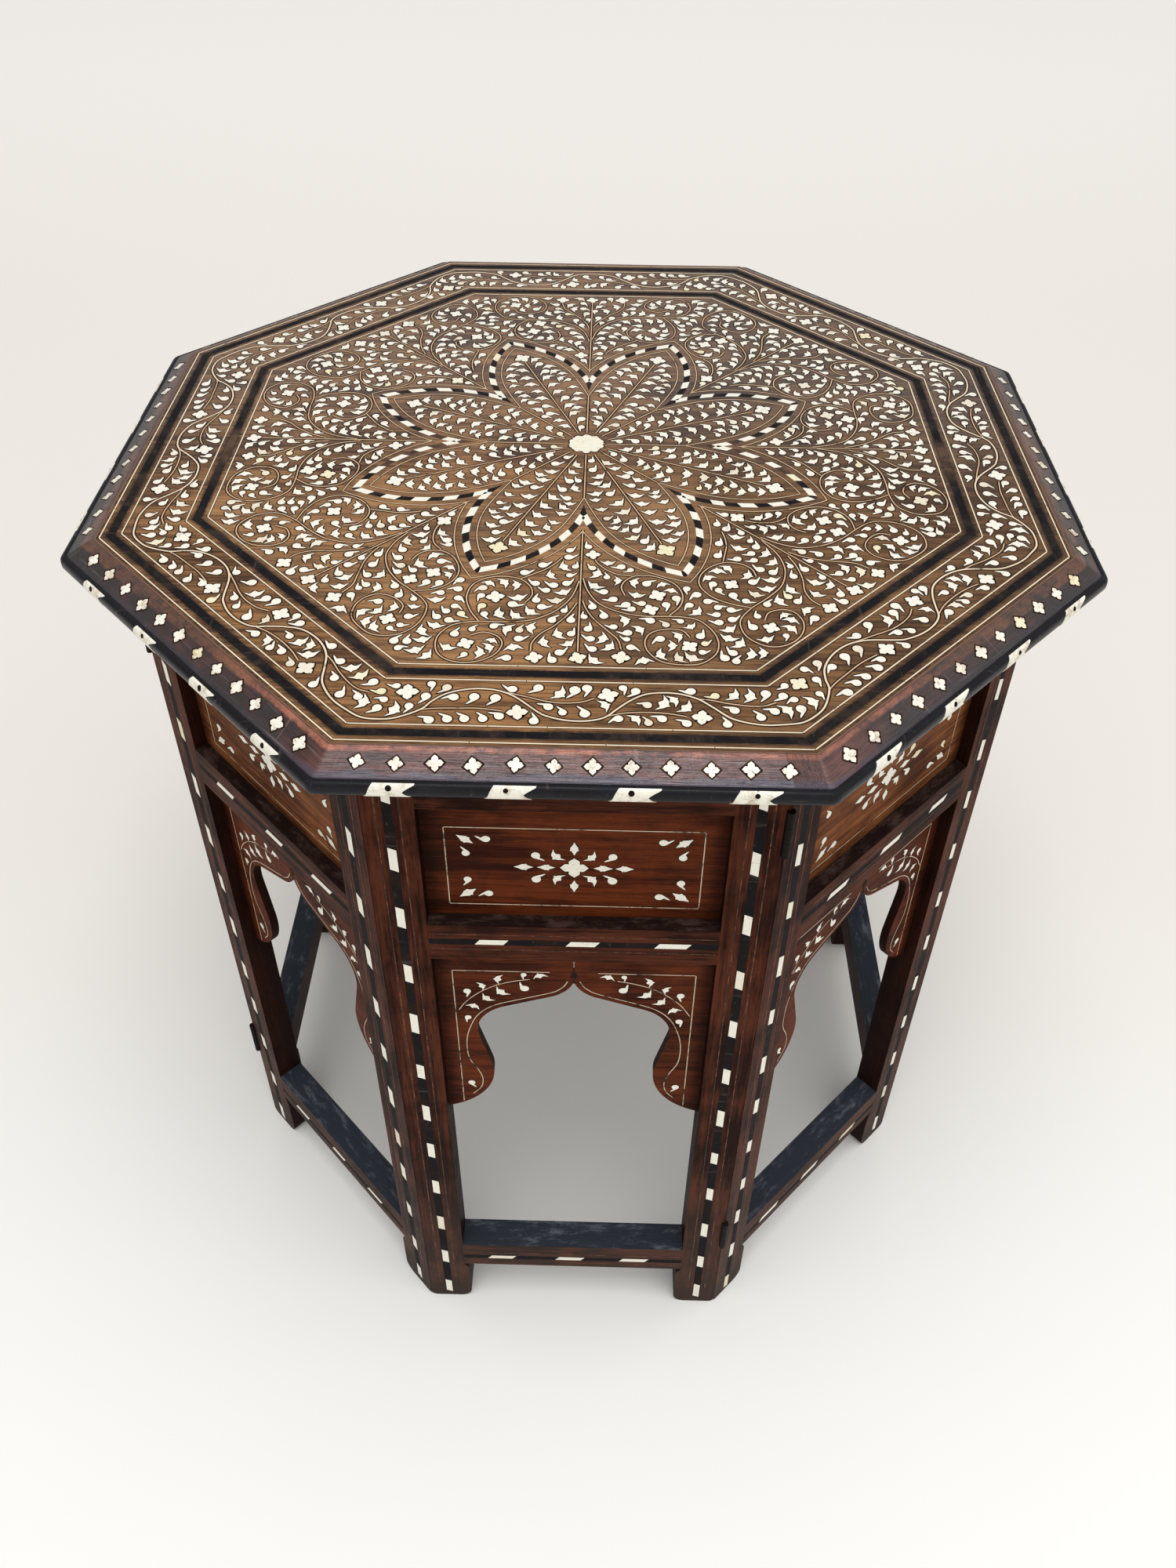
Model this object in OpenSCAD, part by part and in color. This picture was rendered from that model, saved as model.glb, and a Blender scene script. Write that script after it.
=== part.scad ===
// Octagonal side table: a lift-off inlaid top on a folding base of eight hinged frames.
// Millimetres, +Z up, origin on the floor at the middle of the base, front side towards -Y.

/* [Overall] */
// Height from the floor to the face of the top
height = 612; // [560:1:680]
// Width of the top across its flats
top_flats = 600; // [570:1:700]
// Width of the folding base across its flats
base_flats = 533; // [490:1:540]

/* [Top] */
// Thickness of the top
top_t = 16; // [14:0.5:22]
// Width of the moulding that runs round the top
moulding_w = 21; // [17:0.5:25]
// Flat margin of the moulding before its bevel starts
moulding_flat = 2.2; // [1:0.1:4]
// How far the bevel falls
bevel_drop = 7.6; // [4:0.1:8]
// Width of the rounded nosing at the rim
nosing_w = 4; // [3.2:0.1:6]
// Radius of the nosing's rounded corners
nosing_r = 3; // [1:0.1:3.1]
// Gap in the mitres of the moulding, the nosing and the bands
mitre_gap = 0.15; // [0.1:0.05:0.4]
// Distance of the seam between the two boards from the middle
seam_y = -20; // [-45:1:45]
// Gap between the two boards
seam_gap = 0.15; // [0.1:0.05:0.4]
// Gap between the top and the frames under it
seat_gap = 0.3; // [0.2:0.05:0.5]

/* [Inlay of the top] */
// Depth of the bands, lozenges and flower
inlay_d = 1.5; // [1:0.1:2.5]
// Width of the two dark bands
band_w = 4.8; // [3:0.1:8]
// Distance of the outer band's middle from the rim
outer_band_in = 28.6; // [28:0.1:34]
// Distance of the inner band's middle from the rim
inner_band_in = 73.8; // [60:0.1:90]
// Distance of the flower's petal tips from the middle
petal_tip = 150; // [135:1:170]
// Distance of the notches between the petals from the middle
petal_notch = 80; // [70:1:90]
// Distance from the middle at which a petal is widest
petal_belly = 85; // [80:1:95]
// Width of the dashed strip round the petals
petal_band_w = 4; // [2:0.1:6]
// Radius of the rosette in the middle
rosette_r = 11; // [7:0.5:16]
// Lozenges along each side's bevel
lozenges_per_side = 12; // [4:1:12]
// Distance between lozenges
lozenge_pitch = 18.6; // [12:0.1:19]
// Width of a lozenge across its points
lozenge_w = 9; // [6:0.1:11]
// Width of the nicks in a lozenge's sides
lozenge_nick = 1.4; // [0.6:0.1:2]

/* [Tabs on the rim] */
// Tabs along each side of the rim
tabs_per_side = 4; // [2:1:4]
// Distance between tabs
tab_pitch = 57; // [40:1:64]
// Length of a tab
tab_l = 25; // [20:1:30]
// Thickness of a tab
tab_t = 2; // [1:0.1:2.5]
// Slant of a tab's ends
tab_slant = 5; // [0:0.5:8]
// Depth of the swallow tail
tab_tail = 4; // [1:0.5:7]
// Radius of the nail in each tab
tab_nail_r = 1.2; // [0.8:0.1:1.6]
// Length of the nail
tab_nail_l = 12; // [6:0.5:16]

/* [Battens under the top] */
// Distance of each batten from the middle
batten_x = 130; // [90:1:150]
// Width of a batten
batten_w = 36; // [24:1:50]
// Thickness of a batten
batten_t = 8; // [5:0.5:10]
// Distance of a batten's ends from the moulding
batten_end_in = 64; // [59:1:89]
// Distance between the screws along a batten
screw_pitch = 120; // [90:1:130]
// Radius of a screw's shank
screw_r = 2; // [1.5:0.1:2.5]
// Radius of a screw's head
screw_head_r = 4; // [3:0.1:5]
// Length of a screw
screw_l = 12; // [11:0.5:12]

/* [Frames] */
// Thickness of the frames
frame_t = 20; // [18:0.5:24]
// Width of a post on the outside
post_w = 28.5; // [26:0.5:34]
// Gap between the mitred posts of neighbouring frames
corner_gap = 0.4; // [0.3:0.05:0.8]
// Height of the top rail
top_rail_h = 42; // [30:1:60]
// Height of the field between the top rail and the middle rail
field_h = 94; // [70:1:110]
// Height of the middle rail
mid_rail_h = 30; // [20:1:40]
// Height of the stretcher's underside above the floor
stretcher_z = 53; // [40:1:60]
// Height of the stretcher
stretcher_h = 30; // [20:1:34]
// Length of the stretcher's tenons
tenon_l = 12; // [8:0.5:15]
// How far a foot swells into the opening
foot_swell = 3; // [1:0.5:5]
// Radius of a foot's inner corners
foot_r = 9; // [6:0.5:14]
// Radius of a foot's outer bottom corner
foot_corner_r = 5; // [2:0.5:8]

/* [Boards in the frames] */
// Depth of the boards behind the outside face
board_recess = 9; // [6:0.5:10]
// Thickness of the boards
board_t = 6; // [4:0.5:7]
// Depth of the grooves that hold the boards
groove_d = 5; // [3:0.5:8]
// Gap between the two halves of an arch
arch_joint = 0.6; // [0.3:0.1:1.5]

/* [Arch] */
// Radius of the swelling at the foot of the arch
swell_r = 44; // [38:0.5:50]
// How far the swelling stands out from the post
swell_reach = 31; // [24:0.5:36]
// Drop of the swelling's middle below the middle rail
swell_drop = 127.5; // [124:0.5:145]
// Radius of the arch's round shoulder
shoulder_r = 26.5; // [22:0.5:29]
// Width of board left beside the shoulder
shoulder_gap = 22.5; // [18:0.5:28]
// Drop of the shoulder's middle below the middle rail
shoulder_drop = 82.5; // [80:0.5:86]
// Radius of the curves that meet in the cusp
cusp_r = 22.8; // [22.4:0.1:24]
// Distance of those curves' middles from the centre line
cusp_x = 22; // [19:0.1:22.3]
// Drop of the cusp curves' middles below the middle rail
cusp_drop = 25.5; // [24:0.5:28]

/* [Ebony lines in the frames] */
// Width of the dark strip in each post
strip_w = 5.5; // [3:0.5:8]
// Width of the dark line in the middle rail and the stretcher
line_w = 5; // [3:0.5:8]
// Depth of these strips
strip_d = 1.5; // [1:0.1:2.5]
// Height of the middle rail's line above the rail's underside
rail_line_z = 16; // [9:0.5:18]
// Height of the stretcher's line above its underside
stretcher_line_z = 12; // [8:0.5:16]

/* [Hinges] */
// Height of a hinge
hinge_h = 34; // [24:1:44]
// Height of the lower hinge's middle above the floor
hinge_low_z = 110; // [104:1:130]
// Drop of the upper hinge's middle below the top of the frames
hinge_high_drop = 54; // [46:1:70]
// Thickness of a hinge leaf
leaf_t = 1.2; // [0.8:0.1:1.6]
// Width of a hinge leaf
leaf_w = 16; // [12:0.5:17]
// Radius of a hinge's knuckles
knuckle_r = 2.2; // [1.8:0.1:2.6]
// Radius of a hinge pin
hinge_pin_r = 1; // [0.8:0.1:1.2]
// Running clearance round a hinge pin
pin_clearance = 0.06; // [0.03:0.01:0.1]
// Gap between knuckles and round them
knuckle_gap = 0.35; // [0.25:0.05:0.5]
// Distance of the outside pins beyond the corner
pin_out = 0.6; // [0.3:0.1:1.5]

/* [Locating pegs] */
// Radius of a peg
peg_r = 4; // [3:0.5:6]
// Height of a peg above the frame
peg_h = 8; // [6:0.5:9]
// Depth of a peg in the post
peg_sunk = 20; // [10:1:30]
// Clearance round a peg in the top
peg_clearance = 0.4; // [0.2:0.1:0.8]
// Bevel at the peg's end
peg_bevel = 1.5; // [0.5:0.5:2]

/* [Hidden] */
$fn = 64;
sides = 8;
side_turn = 360 / sides;
half_turn = side_turn / 2;
overcut = 1;
glue_gap = 0.05;

top_ap = top_flats / 2;
base_ap = base_flats / 2;
inner_ap = base_ap - frame_t;
under_z = height - top_t;
panel_h = under_z - seat_gap;
half_w = base_ap * tan(half_turn);
inner_half_w = inner_ap * tan(half_turn);
open_w = half_w - post_w;
foot_w = open_w - foot_swell;
mitre_x = corner_gap / 2 / cos(half_turn);
post_mid_x = half_w - post_w / 2;

top_rail_z = panel_h - top_rail_h;
field_z = top_rail_z - field_h;
mid_rail_z = field_z - mid_rail_h;
board_y = -base_ap + board_recess;
swell_mid = [open_w - swell_reach + swell_r, mid_rail_z - swell_drop];
shoulder_mid = [open_w - shoulder_gap - shoulder_r, mid_rail_z - shoulder_drop];
cusp_mid = [cusp_x, mid_rail_z - cusp_drop];
groove_low = swell_mid[1] - swell_r - overcut;

boards_ap = top_ap - moulding_w;
nosing_in = top_ap - nosing_w;
nosing_h = top_t - bevel_drop;
bevel_in = boards_ap + moulding_flat;
bevel_w = nosing_in - bevel_in;
bevel_angle = atan(bevel_drop / bevel_w);
screws_per_batten = 4;
screw_head_h = screw_head_r - screw_r;

// Centre and radius of the circles whose overlap is one petal, its tip on +X
notch_at = petal_notch * [cos(half_turn), sin(half_turn)];
petal_side = (pow(petal_tip - petal_belly, 2) - pow(notch_at[0] - petal_belly, 2) - pow(notch_at[1], 2))
    / (2 * notch_at[1]);
petal_r = norm([petal_tip - petal_belly, petal_side]);
petal_core = petal_notch * 0.8;

outer_pin = base_ap / cos(half_turn) + pin_out;
inner_pin = (inner_ap - knuckle_r - knuckle_gap) / cos(half_turn);
hinge_zs = [hinge_low_z, panel_h - hinge_high_drop];
knuckle_h = (hinge_h - 2 * knuckle_gap) / 3;

SIDES = ["front", "front_right", "right", "back_right", "back", "back_left", "left", "front_left"];
FRAME_PARTS = ["posts", "rails", "field_board", "arch_boards", "ebony_lines", "hinges"];
TOP_PARTS = [
    "top_boards", "edge_mouldings", "ebony_nosing", "bone_tabs", "tab_nails", "ebony_bands",
    "petal_band", "centre_rosette", "bevel_lozenges", "cross_battens", "batten_screws"
];

// Middle of the i-th of n pieces set pitch apart about zero
function place(i, n, pitch) = (i - (n - 1) / 2) * pitch;

// Ends of the line that crosses between two circles, on the side that turn names
function cross_line(c1, r1, c2, r2, turn) = let (
    v = c2 - c1,
    a = atan2(v[1], v[0]) + turn * acos((r1 + r2) / norm(v)),
    n = [cos(a), sin(a)]
) [c1 + r1 * n, c2 - r2 * n];

module octagon(ap) {
    rotate(half_turn) circle(r = ap / cos(half_turn), $fn = sides);
}

module on_sides() {
    for (k = [0:sides - 1]) rotate(side_turn * k) children();
}

// Runs a section, x outwards from the middle and y upwards, along the front side
module along_front(length) {
    mirror([0, 1, 0]) translate([-length / 2, 0, 0]) rotate([90, 0, 90]) linear_extrude(length) children();
}

// Keeps the front side's share of a ring, less half a mitre gap at each end
module mitred() {
    far = top_ap + overcut;
    x = mitre_gap / 2 / cos(half_turn);
    intersection() {
        children();
        linear_extrude(height + overcut) polygon([
            [x - far * tan(half_turn), -far], [far * tan(half_turn) - x, -far], [0, -x / tan(half_turn)]
        ]);
    }
}

// Post seen from above, with the mitre that meets the next frame
module post_plan() {
    polygon([
        [foot_w, -base_ap], [half_w - mitre_x, -base_ap],
        [inner_half_w - mitre_x, -inner_ap], [foot_w, -inner_ap]
    ]);
}

// Post seen from the front: the foot swells into the opening and is rounded at the bottom
module post_front() {
    difference() {
        union() {
            translate([open_w, stretcher_z - foot_r]) square([post_w, panel_h - stretcher_z + foot_r]);
            translate([foot_w + foot_r, 0]) square([post_w + foot_swell - foot_r, stretcher_z]);
            translate([foot_w, foot_r]) square([foot_r + overcut, stretcher_z - 2 * foot_r]);
            for (z = [foot_r, stretcher_z - foot_r]) translate([foot_w + foot_r, z]) circle(foot_r);
        }
        translate([half_w - foot_corner_r, 0]) difference() {
            translate([0, -overcut]) square(foot_corner_r + overcut);
            translate([0, foot_corner_r]) circle(foot_corner_r);
        }
    }
}

module post(outside, peg) {
    difference() {
        intersection() {
            linear_extrude(panel_h) post_plan();
            translate([0, -inner_ap, 0]) rotate([90, 0, 0]) linear_extrude(frame_t) post_front();
        }
        translate([open_w - overcut, board_y, groove_low])
            cube([groove_d + overcut, board_t, height]);
        translate([open_w - overcut, board_y, stretcher_z])
            cube([tenon_l + overcut, board_t, stretcher_h]);
        translate([post_mid_x - strip_w / 2, -base_ap - overcut, foot_r])
            cube([strip_w, strip_d + overcut, height]);
        at_corner() leaf_recesses(outside);
        if (peg) peg_place() cylinder(r = peg_r + glue_gap, h = height);
    }
}

module peg_place() {
    translate([post_mid_x, board_y + board_t / 2, panel_h - peg_sunk]) children();
}

// Corner frame at the right-hand end of the front side: +Y outwards, +X on the front frame's side
module at_corner() {
    rotate(half_turn - 180) children();
}

module leaf_recesses(outside) {
    pin = outside ? outer_pin : inner_pin;
    for (z = hinge_zs) {
        translate([-overcut, outside ? pin - leaf_w : pin, z - hinge_h / 2])
            cube([corner_gap / 2 + leaf_t + overcut, leaf_w, hinge_h]);
        if (outside)
            translate([0, pin, z - hinge_h / 2 - knuckle_gap])
                cylinder(r = knuckle_r + knuckle_gap, h = hinge_h + 2 * knuckle_gap);
    }
}

// One leaf: a plate in the mitre with either the two end knuckles or the middle one
module hinge_leaf(outside, ends) {
    pin = outside ? outer_pin : inner_pin;
    step = knuckle_h + knuckle_gap;
    for (z = hinge_zs) translate([0, pin, z - hinge_h / 2]) difference() {
        union() {
            translate([corner_gap / 2, outside ? -leaf_w : 0, 0]) cube([leaf_t, leaf_w, hinge_h]);
            for (i = ends ? [0, 2] : [1]) translate([0, 0, i * step]) cylinder(r = knuckle_r, h = knuckle_h);
        }
        for (i = ends ? [1] : [0, 2]) translate([0, 0, i * step - knuckle_gap])
            cylinder(r = knuckle_r + knuckle_gap, h = knuckle_h + 2 * knuckle_gap);
        translate([0, 0, -overcut]) cylinder(r = hinge_pin_r + pin_clearance, h = hinge_h + 2 * overcut);
    }
}

module hinge_pins(outside) {
    pin = outside ? outer_pin : inner_pin;
    for (z = hinge_zs) translate([0, pin, z - hinge_h / 2]) cylinder(r = hinge_pin_r, h = hinge_h);
}

// The pins stand outside the ring at every second corner and inside it at the others
function right_outside(k) = k % 2 == 0;

module posts(k) {
    color("#5a2f1c") rotate(side_turn * k) {
        post(right_outside(k), k == 0);
        mirror([1, 0, 0]) post(!right_outside(k), k == 0);
    }
}

module rail(z, h, tongue) {
    translate([-open_w, -base_ap, z]) cube([2 * open_w, frame_t, h]);
    translate([-open_w - tongue, board_y, z]) cube([2 * (open_w + tongue), board_t, h]);
}

module board_groove(z) {
    length = 2 * (open_w + groove_d + overcut);
    translate([-length / 2, board_y, z]) cube([length, board_t, groove_d]);
}

// Strip let into the face of a rail, or the channel that takes it
module face_line(z, out) {
    translate([-open_w, -base_ap - out, z - line_w / 2]) cube([2 * open_w, strip_d + out, line_w]);
}

module rails(k) {
    color("#5a2f1c") rotate(side_turn * k) {
        difference() {
            rail(top_rail_z, top_rail_h, groove_d);
            board_groove(top_rail_z);
        }
        difference() {
            rail(mid_rail_z, mid_rail_h, groove_d);
            board_groove(field_z - groove_d);
            board_groove(mid_rail_z);
            face_line(mid_rail_z + rail_line_z, overcut);
        }
        difference() {
            rail(stretcher_z, stretcher_h, tenon_l);
            face_line(stretcher_z + stretcher_line_z, overcut);
        }
    }
}

module field_board(k) {
    width = 2 * (open_w + groove_d);
    color("#6b3418") rotate(side_turn * k)
        translate([-width / 2, board_y, field_z - groove_d]) cube([width, board_t, field_h + 2 * groove_d]);
}

// Right-hand half of the opening under the arch, seen from the front
module arch_opening() {
    low = groove_low - overcut;
    side = cross_line(shoulder_mid, shoulder_r, swell_mid, swell_r, 1);
    crown = cross_line(shoulder_mid, shoulder_r, cusp_mid, cusp_r, -1);
    difference() {
        union() {
            translate(shoulder_mid) circle(shoulder_r);
            polygon([
                [-overcut, low], [-overcut, cusp_mid[1]], cusp_mid, crown[1], crown[0],
                side[0], side[1], swell_mid, [swell_mid[0], low]
            ]);
        }
        translate(cusp_mid) circle(cusp_r);
        translate(swell_mid) circle(swell_r);
    }
}

module arch_half() {
    translate([0, board_y + board_t, 0]) rotate([90, 0, 0]) linear_extrude(board_t) difference() {
        translate([arch_joint / 2, groove_low])
            square([open_w + groove_d - arch_joint / 2, mid_rail_z + groove_d - groove_low]);
        arch_opening();
    }
}

module arch_boards(k) {
    color("#6b3418") rotate(side_turn * k) {
        arch_half();
        mirror([1, 0, 0]) arch_half();
    }
}

module ebony_lines(k) {
    color("#15120f") rotate(side_turn * k) {
        for (x = [-post_mid_x, post_mid_x])
            translate([x - strip_w / 2, -base_ap, foot_r]) cube([strip_w, strip_d, panel_h - foot_r]);
        face_line(mid_rail_z + rail_line_z, 0);
        face_line(stretcher_z + stretcher_line_z, 0);
    }
}

module hinges(k) {
    color("#4a4540") rotate(side_turn * k) {
        at_corner() {
            hinge_leaf(right_outside(k), true);
            hinge_pins(right_outside(k));
        }
        mirror([1, 0, 0]) at_corner() hinge_leaf(!right_outside(k), false);
    }
}

module locating_pegs() {
    color("#7a4a28") for (side = [0, 1]) mirror([side, 0, 0]) peg_place() {
        cylinder(r = peg_r, h = peg_sunk + peg_h - peg_bevel);
        translate([0, 0, peg_sunk + peg_h - peg_bevel])
            cylinder(r1 = peg_r, r2 = peg_r - peg_bevel, h = peg_bevel);
    }
}

module band(ap) {
    difference() {
        octagon(ap + band_w / 2);
        octagon(ap - band_w / 2);
    }
}

// Outline of the eight petals, moved outwards by grow
module flower(grow) {
    circle(petal_core);
    for (k = [0:sides - 1]) rotate(half_turn + side_turn * k) intersection() {
        translate([petal_belly, -petal_side]) circle(petal_r + grow);
        translate([petal_belly, petal_side]) circle(petal_r + grow);
    }
}

module petal_strip() {
    difference() {
        flower(petal_band_w / 2);
        flower(-petal_band_w / 2);
    }
}

module rosette() {
    lobe = rosette_r * 0.36;
    circle(rosette_r * 0.75);
    for (k = [0:sides - 1]) rotate(side_turn * k) translate([rosette_r - lobe, 0]) circle(lobe);
}

// A depth of inlay below the face of the top, or the pocket for it when out is more than zero
module let_in(out) {
    translate([0, 0, height - inlay_d]) linear_extrude(inlay_d + out) children();
}

module batten(x) {
    half_l = boards_ap - batten_end_in;
    translate([x - batten_w / 2, -half_l, under_z]) cube([batten_w, 2 * half_l, batten_t]);
}

module screws(gap) {
    for (x = [-batten_x, batten_x]) for (i = [0:screws_per_batten - 1])
        translate([x, place(i, screws_per_batten, screw_pitch), under_z]) {
            cylinder(r1 = screw_head_r + gap, r2 = screw_r + gap, h = screw_head_h);
            cylinder(r = screw_r + gap, h = screw_l + gap);
        }
}

module peg_sockets() {
    for (side = [0, 1]) mirror([side, 0, 0]) peg_place()
        cylinder(r = peg_r + peg_clearance, h = peg_sunk + peg_h + overcut);
}

module top_boards() {
    color("#8a5328") difference() {
        translate([0, 0, under_z]) linear_extrude(top_t) difference() {
            octagon(boards_ap);
            translate([-top_ap, seam_y - seam_gap / 2]) square([top_flats, seam_gap]);
        }
        let_in(overcut) band(top_ap - outer_band_in);
        let_in(overcut) band(top_ap - inner_band_in);
        let_in(overcut) petal_strip();
        let_in(overcut) rosette();
        for (x = [-batten_x, batten_x]) translate([0, 0, -overcut]) batten(x);
        for (x = [-batten_x, batten_x]) batten(x);
        screws(glue_gap);
        peg_sockets();
    }
}

module moulding_section() {
    polygon([
        [boards_ap, under_z], [nosing_in, under_z], [nosing_in, under_z + nosing_h],
        [bevel_in, height], [boards_ap, height]
    ]);
}

module nosing_section() {
    translate([nosing_in, under_z]) intersection() {
        square([nosing_w, nosing_h]);
        union() {
            square([nosing_w - nosing_r, nosing_h]);
            translate([0, nosing_r]) square([nosing_w, nosing_h - 2 * nosing_r]);
            for (z = [nosing_r, nosing_h - nosing_r]) translate([nosing_w - nosing_r, z]) circle(nosing_r);
        }
    }
}

// Four small points round a square, as cut from a sliver of bone
module lozenge() {
    side = lozenge_w / sqrt(2);
    rotate(45) difference() {
        square(side, center = true);
        for (a = [0:90:270]) rotate(a) translate([side / 2, 0]) rotate(45) square(lozenge_nick, center = true);
    }
}

module lozenges(out) {
    for (i = [0:lozenges_per_side - 1])
        translate([place(i, lozenges_per_side, lozenge_pitch), -bevel_in - bevel_w / 2, height - bevel_drop / 2])
            rotate([bevel_angle, 0, 0]) translate([0, 0, -inlay_d]) linear_extrude(inlay_d + out) lozenge();
}

// Tab seen from outside: slanted ends and a swallow tail
module tab_outline() {
    x = tab_l / 2;
    polygon([
        [-x, 0], [x - tab_slant / 2, 0], [x - tab_tail, nosing_h / 2], [x, nosing_h],
        [-x + tab_slant, nosing_h]
    ]);
}

module tab_prisms() {
    for (i = [0:tabs_per_side - 1])
        translate([place(i, tabs_per_side, tab_pitch), -top_ap + tab_t, under_z])
            rotate([90, 0, 0]) linear_extrude(tab_t + overcut) tab_outline();
}

module nail_rods(gap) {
    for (i = [0:tabs_per_side - 1])
        translate([place(i, tabs_per_side, tab_pitch), -top_ap + tab_nail_l, under_z + nosing_h / 2])
            rotate([90, 0, 0]) cylinder(r = tab_nail_r + gap, h = tab_nail_l + (gap > 0 ? overcut : 0));
}

module edge_mouldings() {
    color("#4a2a26") difference() {
        on_sides() difference() {
            mitred() along_front(top_flats) moulding_section();
            lozenges(overcut);
            nail_rods(glue_gap);
        }
        peg_sockets();
    }
}

module ebony_nosing() {
    color("#15120f") on_sides() difference() {
        mitred() along_front(top_flats) nosing_section();
        tab_prisms();
        nail_rods(glue_gap);
    }
}

module bone_tabs() {
    color("#ece5d2") on_sides() difference() {
        intersection() {
            along_front(top_flats) nosing_section();
            tab_prisms();
        }
        nail_rods(glue_gap);
    }
}

module tab_nails() {
    color("#2b2622") on_sides() nail_rods(0);
}

module ebony_bands() {
    color("#15120f") on_sides() mitred() let_in(0) {
        band(top_ap - outer_band_in);
        band(top_ap - inner_band_in);
    }
}

module petal_band() {
    color("#15120f") let_in(0) petal_strip();
}

module centre_rosette() {
    color("#ece5d2") let_in(0) rosette();
}

module bevel_lozenges() {
    color("#ece5d2") on_sides() lozenges(0);
}

module cross_battens() {
    color("#6b3f22") difference() {
        for (x = [-batten_x, batten_x]) batten(x);
        screws(glue_gap);
    }
}

module batten_screws() {
    color("#4a4540") screws(0);
}

for (k = [0:sides - 1]) {
    posts(k);
    rails(k);
    field_board(k);
    arch_boards(k);
    ebony_lines(k);
    hinges(k);
}
locating_pegs();
top_boards();
edge_mouldings();
ebony_nosing();
bone_tabs();
tab_nails();
ebony_bands();
petal_band();
centre_rosette();
bevel_lozenges();
cross_battens();
batten_screws();
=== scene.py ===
"""Octagonal side table: inlay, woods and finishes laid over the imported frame."""

import math
from functools import partialmethod

import bpy
import numpy as np
from mathutils import Matrix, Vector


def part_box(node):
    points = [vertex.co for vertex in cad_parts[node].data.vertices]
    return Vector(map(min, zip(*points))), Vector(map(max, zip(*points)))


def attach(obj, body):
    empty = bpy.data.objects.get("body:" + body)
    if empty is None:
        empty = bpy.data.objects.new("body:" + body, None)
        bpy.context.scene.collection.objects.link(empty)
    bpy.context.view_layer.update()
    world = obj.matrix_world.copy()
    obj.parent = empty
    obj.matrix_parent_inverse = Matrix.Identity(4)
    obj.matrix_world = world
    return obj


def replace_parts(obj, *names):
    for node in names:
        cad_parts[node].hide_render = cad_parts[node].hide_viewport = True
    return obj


bl_info = {
    "name": "Octagonal side table",
    "version": (1, 0, 0),
    "blender": (4, 5, 0),
    "location": "View3D > Sidebar > Table",
    "description": "Dresses a folding octagonal table with its inlay, woods and finishes",
    "category": "Add Mesh",
}

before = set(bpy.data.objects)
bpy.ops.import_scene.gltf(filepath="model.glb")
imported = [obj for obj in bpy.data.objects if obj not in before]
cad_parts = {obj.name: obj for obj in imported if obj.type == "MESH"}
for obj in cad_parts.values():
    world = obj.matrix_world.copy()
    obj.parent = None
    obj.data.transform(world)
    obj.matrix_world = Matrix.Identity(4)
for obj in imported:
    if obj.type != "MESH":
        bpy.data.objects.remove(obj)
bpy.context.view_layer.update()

MM = 0.001
SIDES = ("front", "front_right", "right", "back_right", "back", "back_left", "left", "front_left")
SIDE_TURN = math.radians(45)
HALF_TURN = SIDE_TURN / 2
SLOPE = math.tan(HALF_TURN)

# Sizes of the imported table, in millimetres, in the order in which they are met from the top down
TOP_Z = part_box("top_boards")[1].z / MM
UNDER_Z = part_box("top_boards")[0].z / MM
TOP_AP = -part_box("ebony_nosing")[0].y / MM
BASE_AP = -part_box("front_posts")[0].y / MM
BOARDS_AP = TOP_AP - 21.0
NOSING_IN = TOP_AP - 4.0
BEVEL_IN = BOARDS_AP + 2.2
BEVEL_DROP = 7.6
NOSING_TOP = TOP_Z - BEVEL_DROP
BAND_APS = (271.4, 226.2)
STRING_APS = (277.2, 265.7, 232.0, 220.4)
PETAL_TIP = 150.0
PETAL_NOTCH = 80.0
PETAL_BELLY = 85.0
PETAL_SIDE = ((PETAL_TIP - PETAL_BELLY) ** 2 - (PETAL_NOTCH * math.cos(HALF_TURN) - PETAL_BELLY) ** 2
              - (PETAL_NOTCH * math.sin(HALF_TURN)) ** 2) / (2 * PETAL_NOTCH * math.sin(HALF_TURN))
PETAL_R = math.hypot(PETAL_TIP - PETAL_BELLY, PETAL_SIDE)
PETAL_STRING = 6.5
# Where the straight foot of a petal's inner string passes, out from the middle, and how much it narrows
PETAL_FOOT = (76.0, 67.0, 58.0)
PETAL_FOOT_IN = 0.3
BOARD_FACE = BASE_AP - 9.0
POST_LINE = 96.14
RAIL_LINE_Z = 445.7
STRETCHER_LINE_Z = 65.0
# Where the feet of bone and of paste lie, from the face of the wood
BONE_FOOT = -0.8
PASTE_FOOT = -0.5
# How high stems, the paste of leaves and strings, and that of stems stand, as shares of how proud bone is
STEM_SHARE = 0.9
PASTE_SHARE = 0.5
STEM_PASTE_SHARE = 0.4
# How far the upper edges of leaves and dashes are drawn in, as a share
LEAF_INSET = 0.04
DASH_INSET = 0.02


def linear(red, green, blue):
    """Colour as written in 8-bit steps, turned into the linear numbers that shaders take."""
    share = np.array([red, green, blue]) / 255
    return tuple(np.where(share <= 0.04045, share / 12.92, ((share + 0.055) / 1.055) ** 2.4))


def opaque(colour):
    """A colour socket's four numbers."""
    return (*colour[:3], 1.0)


# Curves in a plane, and the grids of points laid over them


def run_of(path):
    """Each point's distance from the path's start, measured along it."""
    return np.concatenate([[0], np.cumsum(np.linalg.norm(np.diff(path, axis=0), axis=1))])


def even(path, step):
    """The same path with points at even steps of its length."""
    run = run_of(path)
    places = np.linspace(0, run[-1], max(2, int(round(run[-1] / step)) + 1))
    return np.stack([np.interp(places, run, path[:, i]) for i in (0, 1)], axis=1)


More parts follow.
